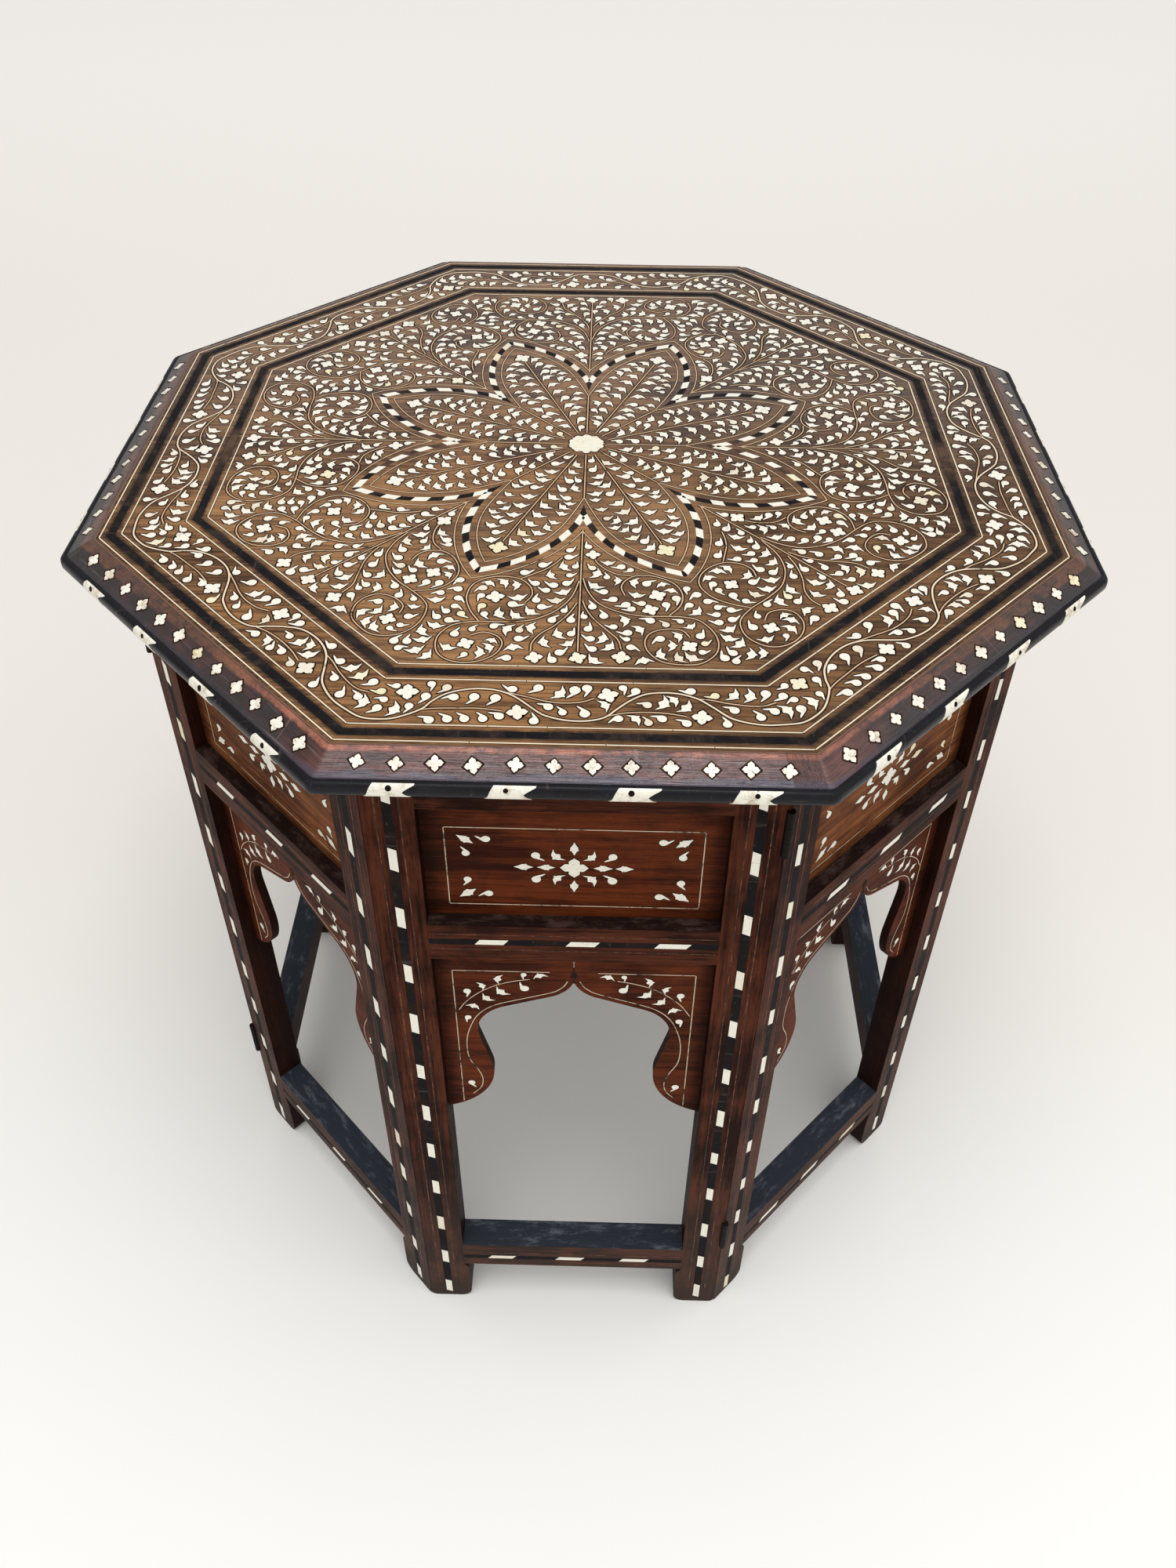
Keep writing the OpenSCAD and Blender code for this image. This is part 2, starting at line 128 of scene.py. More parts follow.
def smooth(points, step=1.0):
    """Catmull-Rom curve through the points: each span is the cubic whose slopes at its ends are half the
    distance between the neighbours, then the whole is resampled to even steps of its length."""
    p = np.asarray(points, float)
    ends = np.vstack([2 * p[0] - p[1], p, 2 * p[-1] - p[-2]])
    t = np.linspace(0, 1, 12, endpoint=False)[:, None]
    a, b, c, d = ends[:-3, None], ends[1:-2, None], ends[2:-1, None], ends[3:, None]
    spans = 2 * b + (c - a) * t + (2 * a - 5 * b + 4 * c - d) * t ** 2 + (3 * b - a - 3 * c + d) * t ** 3
    return even(np.vstack([0.5 * spans.reshape(-1, 2), p[-1]]), step)


def closed_curve(points, step=1.0):
    """The same curve through points in a ring, without its last point, which is its first."""
    p = np.asarray(points, float)
    whole = smooth(np.vstack([p[-3:], p, p[:3]]), 0.25)
    gap = np.linalg.norm(whole - p[0], axis=1)
    quarter, middle = len(whole) // 4, len(whole) // 2
    return even(whole[gap[:quarter].argmin():middle + gap[middle:].argmin() + 1], step)[:-1]


def directions(path):
    """Unit vectors along a path, from the difference of each point's neighbours."""
    step = np.gradient(path, axis=0)
    return step / np.linalg.norm(step, axis=1, keepdims=True)


def turned(points, angle):
    """Points or vectors turned anticlockwise about the middle by an angle."""
    c, s = math.cos(angle), math.sin(angle)
    return np.asarray(points) @ np.array([[c, s], [-s, c]])


def lifted(flat, height):
    """Points of a plane, each with its height."""
    return np.concatenate([flat, np.broadcast_to(height, flat.shape[:-1])[..., None]], axis=-1)


def mitred_edges(path, half, closed):
    """The two edges of a strip: each point moved by half the width along the sum of the normals of its two
    spans, divided by one plus their product, which is the length of the mitre."""
    span = np.diff(np.vstack([path, path[:1]]) if closed else path, axis=0)
    unit = span / np.linalg.norm(span, axis=1, keepdims=True)
    after = np.stack([-unit[:, 1], unit[:, 0]], axis=1)
    before = np.roll(after, 1, axis=0)
    if not closed:
        before, after = np.vstack([after[:1], after]), np.vstack([after, after[-1:]])
    mitre = (before + after) / (1 + np.sum(before * after, axis=1, keepdims=True))
    return path + mitre * half, path - mitre * half


def grid_faces(rows, columns, close_rows=False, close_columns=False):
    """Four-sided faces between the points of a grid that are counted row by row: each joins a point to the
    next in its row and to both below. A closed way goes on from its last point to its first."""
    last_row, last_column = rows - 1 + close_rows, columns - 1 + close_columns
    i, j = np.meshgrid(np.arange(last_row), np.arange(last_column), indexing="ij")
    below, beside = (i + 1) % rows, (j + 1) % columns
    corners = (i, j), (i, beside), (below, beside), (below, j)
    return np.stack([row * columns + column for row, column in corners], axis=-1).reshape(-1, 4)


def octagon(apothem):
    """Corners of an octagon with flats on the axes, anticlockwise from the front left one."""
    angle = -math.pi / 2 - HALF_TURN + SIDE_TURN * np.arange(8)
    return apothem / math.cos(HALF_TURN) * np.stack([np.cos(angle), np.sin(angle)], axis=1)


def on_top(points):
    """The face of the top: s is x, t is y and d is up."""
    return points + (0, 0, TOP_Z)


def at_side(side, along, out, up):
    """Points given along a side, out from the table's middle and up, turned to that side."""
    return lifted(turned(np.stack(np.broadcast_arrays(along, -out), axis=-1), SIDE_TURN * side), up)


def on_frame(side, apothem):
    """The outside face of a frame at some apothem: s along it, t up and d outwards."""

    def place(points):
        return at_side(side, points[:, 0], apothem + points[:, 2], points[:, 1])

    return place


# Flat pieces of inlay

DROP = np.array([
    (0.05, 0.24), (0.18, 0.10), (0.33, -0.02), (0.47, -0.14), (0.62, -0.24), (0.78, -0.26), (0.92, -0.17),
    (0.99, -0.02), (0.97, 0.12), (0.88, 0.22), (0.74, 0.27), (0.60, 0.24), (0.50, 0.16), (0.42, 0.09),
    (0.32, 0.15), (0.20, 0.21),
])
DOVE = np.array([
    (-0.02, 0.10), (0.14, -0.07), (0.26, -0.22), (0.37, -0.29), (0.45, -0.42), (0.54, -0.31), (0.72, -0.27),
    (0.84, -0.13), (0.93, 0.0), (1.03, 0.12), (0.84, 0.03), (0.71, -0.01), (0.60, 0.05), (0.52, 0.15),
    (0.41, 0.10), (0.32, 0.02), (0.22, -0.02), (0.12, 0.05),
])
DIAMOND = np.array([
    (0.0, 0.0), (0.30, -0.13), (0.38, -0.25), (0.46, -0.20), (0.56, -0.22), (0.76, -0.10),
    (1.0, 0.0), (0.76, 0.10), (0.56, 0.22), (0.46, 0.20), (0.38, 0.25), (0.30, 0.13),
])
QUARTER = np.array([
    (1.0, 0.0), (0.88, 0.12), (0.76, 0.28), (0.63, 0.38), (0.49, 0.38), (0.37, 0.37),
    (0.38, 0.49), (0.38, 0.63), (0.28, 0.76), (0.12, 0.88),
])
QUATREFOIL = np.concatenate([turned(QUARTER, math.pi / 2 * i) for i in range(4)])
KINDS = {"drop": DROP, "dove": DOVE, "diamond": DIAMOND, "quatre": QUATREFOIL}

# How long each kind of leaf is from tail to head, and how near leaves come to each other, to a stem and to
# the strings beside the bands and petals, all in millimetres
LEAF_LENGTHS = {"dove": 10.9, "drop": 9.5}
LEAF_CLEAR = 1.05
STEM_CLEAR = 1.15
STRING_CLEAR = 1.5


def outlines(kind, tails, heads, hands, grow=0.0):
    """A leaf's outline laid from its tail to its head: the head's vector gives x, the same vector turned a
    quarter gives y, and hand mirrors y. Grow moves each point out along the outline's own normals."""
    shape = KINDS[kind]
    tails, heads = np.asarray(tails, float).reshape(-1, 1, 2), np.asarray(heads, float).reshape(-1, 1, 2)
    hands = np.asarray(hands, float).reshape(-1, 1)
    ahead = heads - tails
    across = np.stack([-ahead[..., 1], ahead[..., 0]], axis=-1)
    placed = tails + ahead * shape[None, :, :1] + across * shape[None, :, 1:] * hands[..., None]
    placed[hands[:, 0] < 0] = placed[hands[:, 0] < 0][:, ::-1]
    if grow:
        run = np.roll(placed, -1, axis=1) - np.roll(placed, 1, axis=1)
        out = np.stack([run[..., 1], -run[..., 0]], axis=-1)
        placed = placed + grow * out / np.maximum(np.linalg.norm(out, axis=-1, keepdims=True), 1e-9)
    return placed


class Inlay:
    """Closed pieces, most of them flat, in one mesh. Their own axes are s along, t across and d out of the
    face, in millimetres, and place says where that face is. Flat ones go down to the same foot in the wood.
    Tone is a number from 0 to 1 that tells one sliver from the next."""

    def __init__(self, seed, place=on_top, foot=BONE_FOOT):
        self.points, self.faces, self.tones, self.count = [], [], [], 0
        self.draw, self.place, self.foot = np.random.default_rng(seed), place, foot

    def add(self, points, faces, tones):
        """Points that are in their place already, with faces that count from the first of them."""
        for corners in faces:
            self.faces += (corners + self.count).tolist()
        self.points.append(points)
        self.tones.append(np.broadcast_to(tones, len(points)))
        self.count += len(points)

    def prisms(self, rings, high, inset=0.0, foot=None):
        """Outlines carried straight up from the foot, the upper edge drawn in by a share of its distance from
        the outline's middle."""
        rings = np.asarray(rings, float)
        n, m = rings.shape[:2]
        lower = lifted(rings, self.foot if foot is None else foot)
        upper = lifted(rings + (rings.mean(axis=1, keepdims=True) - rings) * inset, high)
        base = 2 * m * np.arange(n)[:, None]
        ring = np.arange(m)
        following = (ring + 1) % m
        walls = np.stack([base + ring, base + following, base + m + following, base + m + ring], axis=2)
        faces = [base + m + ring, base + ring[::-1], walls.reshape(-1, 4)]
        tones = np.repeat(self.draw.random(n), 2 * m)
        self.add(self.place(np.concatenate([lower, upper], axis=1).reshape(-1, 3)), faces, tones)

    def ribbon(self, path, width, high, closed=False):
        """A strip of a given width along a path: four points at each station, joined to the next four."""
        left, right = mitred_edges(np.asarray(path, float), width / 2, closed)
        n = len(left)
        levels = ((left, self.foot), (right, self.foot), (right, high), (left, high))
        points = np.stack([lifted(edge, level) for edge, level in levels], axis=1).reshape(-1, 3)
        faces = [grid_faces(n, 4, closed, True)[:, [0, 3, 2, 1]]]
        if not closed:
            last = 4 * (n - 1)
            faces.append(np.array([[0, 1, 2, 3], [last + 3, last + 2, last + 1, last]]))
        self.add(self.place(points), faces, self.draw.random())

    def ribbons(self, paths, width, high):
        """A strip along each of several paths."""
        for path in paths:
            self.ribbon(path, width, high)

    def leaves(self, leaves, high, grow=0.0, inset=0.0):
        """Every leaf of a list of (kind, tail, head, hand)."""
        for kind in KINDS:
            chosen = [leaf[1:] for leaf in leaves if leaf[0] == kind]
            if chosen:
                self.prisms(outlines(kind, *zip(*chosen), grow=grow), high, inset)

    def build(self, name, kind, body="top"):
        """Makes the gathered pieces one object, which rides on its body."""
        points, tones = np.concatenate(self.points) * MM, np.concatenate(self.tones)
        return make_piece(name, kind, points, self.faces, body, tones=tones)


def make_piece(name, kind, points, faces, body="top", tones=None, uvs=None):
    """A mesh object at the origin with its place in its points, in a kind of finish and riding on a body. One
    with a map of its own is shaded smooth."""
    mesh = bpy.data.meshes.new(name)
    mesh.from_pydata(points.tolist(), [], faces)
    if tones is not None:
        mesh.attributes.new("tone", "FLOAT", "POINT").data.foreach_set("value", tones.astype(np.float32))
    if uvs is not None:
        corners = np.zeros(len(mesh.loops), np.int32)
        mesh.loops.foreach_get("vertex_index", corners)
        mesh.uv_layers.new(name="run").data.foreach_set("uv", uvs.astype(np.float32)[corners].ravel())
        mesh.polygons.foreach_set("use_smooth", np.ones(len(mesh.polygons), bool))
    mesh.update()
    mesh.materials.append(finish(kind))
    piece = bpy.data.objects.new(name, mesh)
    bpy.context.scene.collection.objects.link(piece)
    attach(piece, body)
    return piece


# Where the vines run


def petal_arc(out, count=40):
    """One edge of a petal moved out by some distance, from its tip to the line between two petals: a circle
    of the petal's radius plus that distance, in the petal's own frame with its axis along x."""
    radius = PETAL_R + out
    start = math.asin(PETAL_SIDE / radius)
    reach = (PETAL_SIDE + PETAL_BELLY * SLOPE) * math.cos(HALF_TURN) / radius
    angle = np.linspace(start, HALF_TURN + math.asin(min(1.0, reach)), count)
    return np.stack([PETAL_BELLY + radius * np.cos(angle), radius * np.sin(angle) - PETAL_SIDE], axis=1)


def inner_petal_string():
    """The string inside a petal: the same circle as far as its widest point, then straight on to the line
    between two petals."""
    radius = PETAL_R - PETAL_STRING
    angle = np.linspace(math.asin(PETAL_SIDE / radius), math.pi / 2, 30)
    widest = radius - PETAL_SIDE
    foot = [widest, widest - PETAL_FOOT_IN, PETAL_FOOT[2] * SLOPE]
    a = np.concatenate([PETAL_BELLY + radius * np.cos(angle), PETAL_FOOT])
    b = np.concatenate([radius * np.sin(angle) - PETAL_SIDE, foot])
    return np.stack([a, b], axis=1)


# Stems of one side of the field and of the border, in millimetres from the middle of the top
FIELD_STEMS = (
    [(1.3, -144.4), (3.8, -155), (8.8, -165), (15, -170.6), (23.8, -175), (35, -177.3), (46.3, -177.1),
     (56.3, -177.5), (63.8, -180), (70, -187.5), (73.1, -196.3), (72.5, -205), (68.8, -211.3), (62.5, -216),
     (53.8, -216.9), (43.8, -215), (37.5, -208.8), (34.8, -201.3), (36.3, -193.8), (41.3, -189.4),
     (48.8, -187.8), (55, -189.2), (58.4, -194.4)],
    [(48, -176.6), (53.8, -168.8), (55.9, -161.3), (55, -153.8), (51.3, -147.5), (45, -143), (37.5, -140.6),
     (30, -141.3), (24.4, -146.3), (22.5, -152.5), (24.4, -159.2)],
    [(1.6, -165), (3.6, -172), (7.8, -180.5), (15, -190), (20.6, -197.5), (22.6, -206)],
    [(7.6, -126.6), (9.6, -130.6), (13.8, -135.6), (20, -140), (28, -141.2)],
    [(-0.8, -147), (-4, -160), (-9, -169.5), (-16, -177), (-27, -183), (-41, -184.6), (-54, -184.6),
     (-65.5, -187.3), (-71.9, -194), (-74.2, -201.5), (-72.6, -210.6), (-67, -216.4), (-58.8, -218.6),
     (-50.6, -217.2), (-44, -213), (-40.4, -207.4), (-39.6, -201.4), (-43, -196.2), (-50, -193.6),
     (-56.6, -196.4)],
    [(-53.5, -184), (-58.8, -174.5), (-61.6, -163.5), (-59.4, -152.6), (-52.5, -146.1), (-42.5, -144),
     (-33, -146.5), (-27.3, -153.2), (-26.2, -161), (-29.6, -167.4)],
    [(-1.5, -167), (-6, -177), (-13, -187), (-20, -194), (-24, -201.5), (-24.4, -208.5)],
    [(-11, -125.4), (-14.4, -130.6), (-20, -136.8), (-27.5, -142), (-33, -145.8)],
    [(0, -97), (0, -150), (0, -208)],
)
BORDER_VINE = [
    (-104.5, -261), (-95.8, -262.3), (-87, -261), (-75.8, -254.8), (-70.8, -248.5), (-64.5, -242.9),
    (-55.8, -239.5), (-47, -238.5), (-38.3, -239.8), (-29.5, -244.5), (-18.3, -254.8), (-13.3, -257.9),
    (-4.5, -260.4), (5.5, -260.6), (14.3, -257.9), (20.5, -251.6), (26.8, -245.4), (34.3, -240.4),
    (43, -238.8), (51.8, -239.5), (60.5, -242.9), (68, -249.1), (75.5, -256), (83, -259.2), (92, -260.8),
    (101.5, -260.2),
]
BORDER_STEMS = (
    [(-35.8, -240.6), (-24.5, -243.8), (-14.5, -246.9), (-5.8, -247.9), (3, -246.9), (9, -244.2)],
    [(-75.8, -254.8), (-68.3, -253.7), (-58.3, -253.3), (-47, -253.1), (-36, -254.6)],
    [(16, -256.8), (24.3, -254.4), (35.5, -253.5), (45.5, -254.1), (54.5, -256)],
    [(60.5, -242.9), (66.8, -243.6), (75.5, -245.8), (85.5, -247.3), (93, -247), (99, -244.4)],
)

# Middles and radii of the four-lobed flowers of one side; a petal's lies on its axis
FIELD_FLOWERS = [(-22.5, -213.5), (0, -213), (22.5, -212), (-59, -203), (58, -202), (-46, -163), (38, -171.5),
                 (42, -158.5), (-10.5, -121.5), (6.5, -121.5)]
BORDER_FLOWERS = [(62, -256.5), (-28.5, -255), (-83.5, -242), (16, -241)]
PETAL_FLOWER = 125.5
PETAL_FLOWER_RADIUS = 6.3
FIELD_FLOWER_RADIUS = 5.3
BORDER_FLOWER_RADIUS = 5.7

# A leaf's share of clear ground about its middle, the ground kept round the rosette, and the angle past a
# side's share in which the neighbours' leaves are looked at
LEAF_ROOM = 2.6
ROSETTE_ROOM = 15.5
SHARE_MARGIN = 0.2
# Points further than this from a leaf's middle can't touch it
LEAF_REACH = 14.0
# Shares of the leaves that are forked, by where they grow
PETAL_DOVES = 0.85
FIELD_DOVES = 0.62
BORDER_DOVES = 0.6
# Distances between the leaves beside a stem, their leans from it, and the sizes that are tried
LEAF_PITCH = 10.3
BORDER_PITCH = 10.4
RIB_LEAN = math.radians(70)
SECOND_ROW_LEAN = math.radians(104)
FIELD_LEAN = math.radians(62)
BORDER_LEAN = math.radians(74)
WAVE_LEAN = math.radians(66)
RIB_SIZES = (1.04, 0.9, 0.8, 0.7, 0.6)
BORDER_SIZES = (1.08, 1.0, 0.9)
# How far from a petal's rib its second row of leaves stands
SECOND_ROW = 14.4
# Sizes and leans that are tried where the ground is still bare
PETAL_FILL = ((1.0, 0.88), (1.2, 0.8, 1.6))
FIELD_FILL = ((1.0, 0.9, 0.8), (0.95, 0.55, 1.35, 0.15))
BORDER_FILL = ((1.0, 0.9), (0.95, 0.55, 1.35, 0.15))
# How far the leaves beside a stem and the flowers turn by chance
LEAF_SWAY = 0.08
FLOWER_TURN = 0.25
# By how much leaves differ from side to side: their turn, their size as a share and their place
TURN_CHANGE = 0.06
SIZE_CHANGE = 0.035
PLACE_CHANGE = 0.2


def around(paths, first=0.0):
    """Each path turned to all eight sides."""
    return [turned(path, first + SIDE_TURN * side) for side in range(8) for path in paths]


def mirrored(paths):
    """Each path as it is, and again with its y turned over."""
    return [path * (1, sign) for path in paths for sign in (1, -1)]


def octagon_reach(points):
    """How far out a point lies on the octagon's scale: the greatest of its distances along the normals of the
    eight sides."""
    x, y = np.abs(points[..., 0]), np.abs(points[..., 1])
    return np.maximum(np.maximum(x, y), (x + y) * math.sqrt(0.5))


def from_petal_axis(points):
    """Each point's distance from the middle of the top, and its angle from the nearest petal's axis."""
    far = np.hypot(points[..., 0], points[..., 1])
    return far, np.abs(np.arctan2(points[..., 1], points[..., 0]) % SIDE_TURN - HALF_TURN)


def petal_reach(points):
    """How far outside the nearest petal's edge a point lies: with the petal's axis as x, its distance from
    the centre of the edge's circle, less the circle's radius."""
    far, aside = from_petal_axis(points)
    return np.hypot(far * np.cos(aside) - PETAL_BELLY, far * np.sin(aside) + PETAL_SIDE) - PETAL_R


def in_petal(points):
    """Inside the petal's inner string, off the line between two petals and off the rosette."""
    far, aside = from_petal_axis(points)
    widest = PETAL_R - PETAL_STRING - PETAL_SIDE - STRING_CLEAR
    in_edge = petal_reach(points) < -PETAL_STRING - STRING_CLEAR
    in_string = np.where(far * np.cos(aside) > PETAL_BELLY, in_edge, far * np.sin(aside) < widest)
    return in_string & (far > ROSETTE_ROOM) & (far * np.sin(HALF_TURN - aside) > STEM_CLEAR)


def in_field(points):
    """Outside the petals' outer string and inside the inner band's string."""
    outside = petal_reach(points) > PETAL_STRING + STRING_CLEAR
    return outside & (octagon_reach(points) < STRING_APS[3] - STRING_CLEAR)


def in_border(points):
    """Between the two bands' strings."""
    reach = octagon_reach(points)
    return (reach > STRING_APS[2] + STRING_CLEAR) & (reach < STRING_APS[1] - STRING_CLEAR)


class Planting:
    """Leaves of one side's share of the top, an eighth that starts at an angle. They are laid one by one,
    each where it lies inside and clears the stems and the leaves before it, on the neighbouring sides too."""

    def __init__(self, stems, inside, first, draw, doves):
        self.inside, self.first, self.draw, self.doves, self.leaves = inside, first, draw, doves, []
        turns = [(stem, SIDE_TURN * i) for stem in stems for i in (-1, 0, 1)]
        places = np.concatenate([turned(stem, turn) for stem, turn in turns])
        ways = np.concatenate([turned(directions(stem), turn) for stem, turn in turns])
        near = self.in_share(places, SHARE_MARGIN)
        self.stems, self.ways, self.taken = places[near], ways[near], np.zeros((0, 2))

    def in_share(self, points, margin=0.0):
        """Whether each point lies in the share, widened by a margin at both ends."""
        angle = np.arctan2(points[..., 1], points[..., 0]) - self.first + margin
        return angle % (2 * math.pi) < SIDE_TURN + 2 * margin

    @staticmethod
    def clears(outline, middle, others, gap):
        """Whether an outline keeps its gap to the other points."""
        near = others[np.abs(others - middle).max(axis=1) < LEAF_REACH]
        return not len(near) or np.min(np.linalg.norm(outline[:, None] - near[None], axis=2)) >= gap

    def lay(self, kind, tail, head, hand):
        """Lays a leaf if there is room, and says whether it did. A flower may cover a stem."""
        tail, head = np.asarray(tail, float), np.asarray(head, float)
        flower = kind == "quatre"
        middle = tail if flower else (tail + head) / 2
        outline = outlines(kind, [tail], [head], [hand])[0]
        if not (self.in_share(middle) and self.inside(outline).all()
                and self.clears(outline, middle, self.taken, LEAF_CLEAR)
                and (flower or self.clears(outline, middle, self.stems, STEM_CLEAR))):
            return False
        self.leaves.append((kind, tail, head, hand))
        covered = np.concatenate([outline, (outline + np.roll(outline, 1, axis=0)) / 2, [middle]])
        copies = np.concatenate([turned(covered, SIDE_TURN * i) for i in (-1, 0, 1)])
        self.taken = np.concatenate([self.taken, copies[self.in_share(copies, SHARE_MARGIN)]])
        return True

    def flowers(self, middles, radius):
        """Four-lobed flowers about their middles, each turned a little by chance."""
        for middle in middles:
            point = turned((radius, 0.0), self.draw.normal(FLOWER_TURN, FLOWER_TURN))
            self.lay("quatre", middle, np.asarray(middle) + point, 1)

    def leaf(self, tail, angle, hand, size, from_middle=False):
        """One leaf that points at an angle, of a kind drawn by lot."""
        kind = "dove" if self.draw.random() < self.doves else "drop"
        ahead = LEAF_LENGTHS[kind] * size * np.array([math.cos(angle), math.sin(angle)])
        if from_middle:
            tail = tail - ahead / 2
        return self.lay(kind, tail, tail + ahead, hand)

    def beside(self, stem, pitch, lean, near=1.7, begin=3.0, sizes=(1.0, 0.9, 0.8)):
        """Leaves on both hands of a stem: a tail every pitch, near it, and the leaf leaning away from it."""
        way = directions(stem)
        run = run_of(stem)
        for hand in (1, -1):
            for place in np.arange(begin + (pitch / 2 if hand < 0 else 0), run[-1], pitch):
                i = int(np.argmin(np.abs(run - place)))
                across = np.array([-way[i, 1], way[i, 0]]) * hand
                angle = math.atan2(way[i, 1], way[i, 0]) + hand * (lean + self.draw.normal(0, LEAF_SWAY))
                any(self.leaf(stem[i] + across * near, angle, hand, size) for size in sizes)

    def fill(self, sizes, leans, step=2.4):
        """Leaves in what is left bare, those nearest the stems first. Each leans from its nearest stem."""
        axis = np.arange(-TOP_AP, TOP_AP, step)
        grid = np.stack(np.meshgrid(axis, axis), axis=-1).reshape(-1, 2)
        grid = grid[self.in_share(grid) & self.inside(grid)]
        gap = np.linalg.norm(grid[:, None] - self.stems[None], axis=2)
        nearest = gap.argmin(axis=1)
        for size in sizes:
            for i in np.argsort(gap.min(axis=1)):
                if np.abs(self.taken - grid[i]).max(axis=1).min() < LEAF_ROOM * size:
                    continue
                way = self.ways[nearest[i]]
                from_stem = grid[i] - self.stems[nearest[i]]
                hand = 1 if way[0] * from_stem[1] - way[1] * from_stem[0] > 0 else -1
                base = math.atan2(way[1], way[0])
                any(self.leaf(grid[i], base + hand * lean, hand, size, True) for lean in leans)


def spread(leaves, draw):
    """One side's leaves turned to all eight sides, each with a little of the hand's own unevenness."""
    made = []
    for side in range(8):
        for kind, tail, head, hand in leaves:
            ahead = turned(head - tail, SIDE_TURN * side + draw.normal(0, TURN_CHANGE))
            ahead = ahead * (1 + draw.normal(0, SIZE_CHANGE))
            start = turned(tail + draw.normal(0, PLACE_CHANGE, 2), SIDE_TURN * side)
            made.append((kind, start, start + ahead, hand))
    return made


# Materials. Their places are in metres, and colours are written in 8-bit steps


class Nodes:
    """A node tree with short ways to add to it. A value is a number, a colour or another node's socket."""

    def __init__(self, tree):
        self.tree = tree

    def fill(self, node, inputs):
        """Links or sets a node's inputs, each by its name or by its place in the row."""
        for key, value in inputs.items():
            socket = node.inputs[key]
            if isinstance(value, bpy.types.NodeSocket):
                self.tree.links.new(value, socket)
            else:
                socket.default_value = opaque(value) if socket.type == "RGBA" else value
        return node.outputs

    def add(self, kind, inputs, **settings):
        """A new node with its settings and inputs; returns its outputs."""
        node = self.tree.nodes.new(f"ShaderNode{kind}")
        for name, value in settings.items():
            setattr(node, name, value)
        return self.fill(node, inputs)

    def maths(self, operation, *values):
        """One step of arithmetic on numbers."""
        return self.add("Math", dict(enumerate(values)), operation=operation)[0]

    plus = partialmethod(maths, "ADD")
    less = partialmethod(maths, "SUBTRACT")
    times = partialmethod(maths, "MULTIPLY")
    times_plus = partialmethod(maths, "MULTIPLY_ADD")
    most = partialmethod(maths, "MAXIMUM")
    size = partialmethod(maths, "ABSOLUTE")

    def blend(self, factor, first, second):
        """A mix of two colours, which are the seventh and eighth inputs of its node."""
        return self.add("Mix", {0: factor, 6: first, 7: second}, data_type="RGBA")[2]

    def step(self, value, low, high, to_low=0.0, to_high=1.0):
        """A smooth step of a value from low to high."""
        numbers = dict(enumerate((value, low, high, to_low, to_high)))
        return self.add("MapRange", numbers, interpolation_type="SMOOTHSTEP")[0]

    def noise(self, vector, scale, detail=3.0, roughness=0.55, distortion=0.0):
        inputs = dict(Vector=vector, Scale=scale, Detail=detail, Roughness=roughness, Distortion=distortion)
        return self.add("TexNoise", inputs)["Fac"]

    def stretched(self, vector, scale, shift=(0, 0, 0), turn=(0, 0, 0)):
        """Coordinates scaled, turned and then moved."""
        return self.add("Mapping", dict(Vector=vector, Location=shift, Rotation=turn, Scale=scale))[0]

    def place(self, side=0, what="Object"):
        """Object coordinates, or normals, turned back to the front side, so that one finish serves all."""
        return self.stretched(self.add("TexCoord", {})[what], (1, 1, 1), turn=(0, 0, -SIDE_TURN * side))

    def parts(self, vector):
        """A vector's x, y and z."""
        return self.add("SeparateXYZ", {0: vector})

    def group(self, name, **inputs):
        """A shared effect."""
        return self.add("Group", inputs, node_tree=bpy.data.node_groups[name])

    def surface(self, colour, roughness, gloss=0.5, height=None, depth=0.0, metal=0.0):
        """The shader and the output: a height, where there is one, gives a bump of some depth."""
        inputs = {"Base Color": colour, "Roughness": roughness, "Metallic": metal}
        inputs["Specular IOR Level"] = gloss
        if height is not None:
            inputs["Normal"] = self.add("Bump", dict(Height=height, Distance=depth, Strength=1.0))[0]
        self.add("OutputMaterial", {0: self.add("BsdfPrincipled", inputs)[0]})


def new_group(name, takes, gives):
    """A shader node group whose sockets are words with their types. Returns its nodes, the sockets that it
    takes and the node that gives."""
    tree = bpy.data.node_groups.new(name, "ShaderNodeTree")
    for way, sockets in (("INPUT", takes), ("OUTPUT", gives)):
        for label, kind in sockets.items():
            tree.interface.new_socket(label, in_out=way, socket_type=f"NodeSocket{kind}")
    return Nodes(tree), tree.nodes.new("NodeGroupInput").outputs, tree.nodes.new("NodeGroupOutput")


def make_wood_group():
    """Wood: broad patches, long streaks along the grain, and short dark pores."""
    takes = dict(Place="Vector", Grain="Vector", Light="Color", Dark="Color", Pores="Float", Patches="Float")
    n, given, gives = new_group("Wood", takes, dict(Color="Color", Height="Float", Wear="Float"))
    broad = n.noise(given["Place"], 17.0, 4.0, 0.6, 0.4)
    streaks = n.step(n.noise(given["Grain"], 170.0, 6.0, 0.66, 0.5), 0.36, 0.66)
    fine = n.step(n.noise(given["Grain"], 620.0, 4.0, 0.7), 0.35, 0.68)
    pores = n.step(n.noise(given["Grain"], 1300.0, 2.0, 0.5), 0.57, 0.68)
    patch = n.step(broad, 0.35, 0.68)
    tone = n.times_plus(fine, 0.26, n.times_plus(patch, given["Patches"], n.times(streaks, 0.46)))
    colour = n.blend(n.step(tone, 0.05, 0.95), given["Light"], given["Dark"])
    depth = n.times(pores, given["Pores"])
    height = n.less(n.times(fine, 0.5), depth)
    n.fill(gives, dict(Color=n.blend(depth, colour, linear(34, 18, 12)), Height=height, Wear=broad))


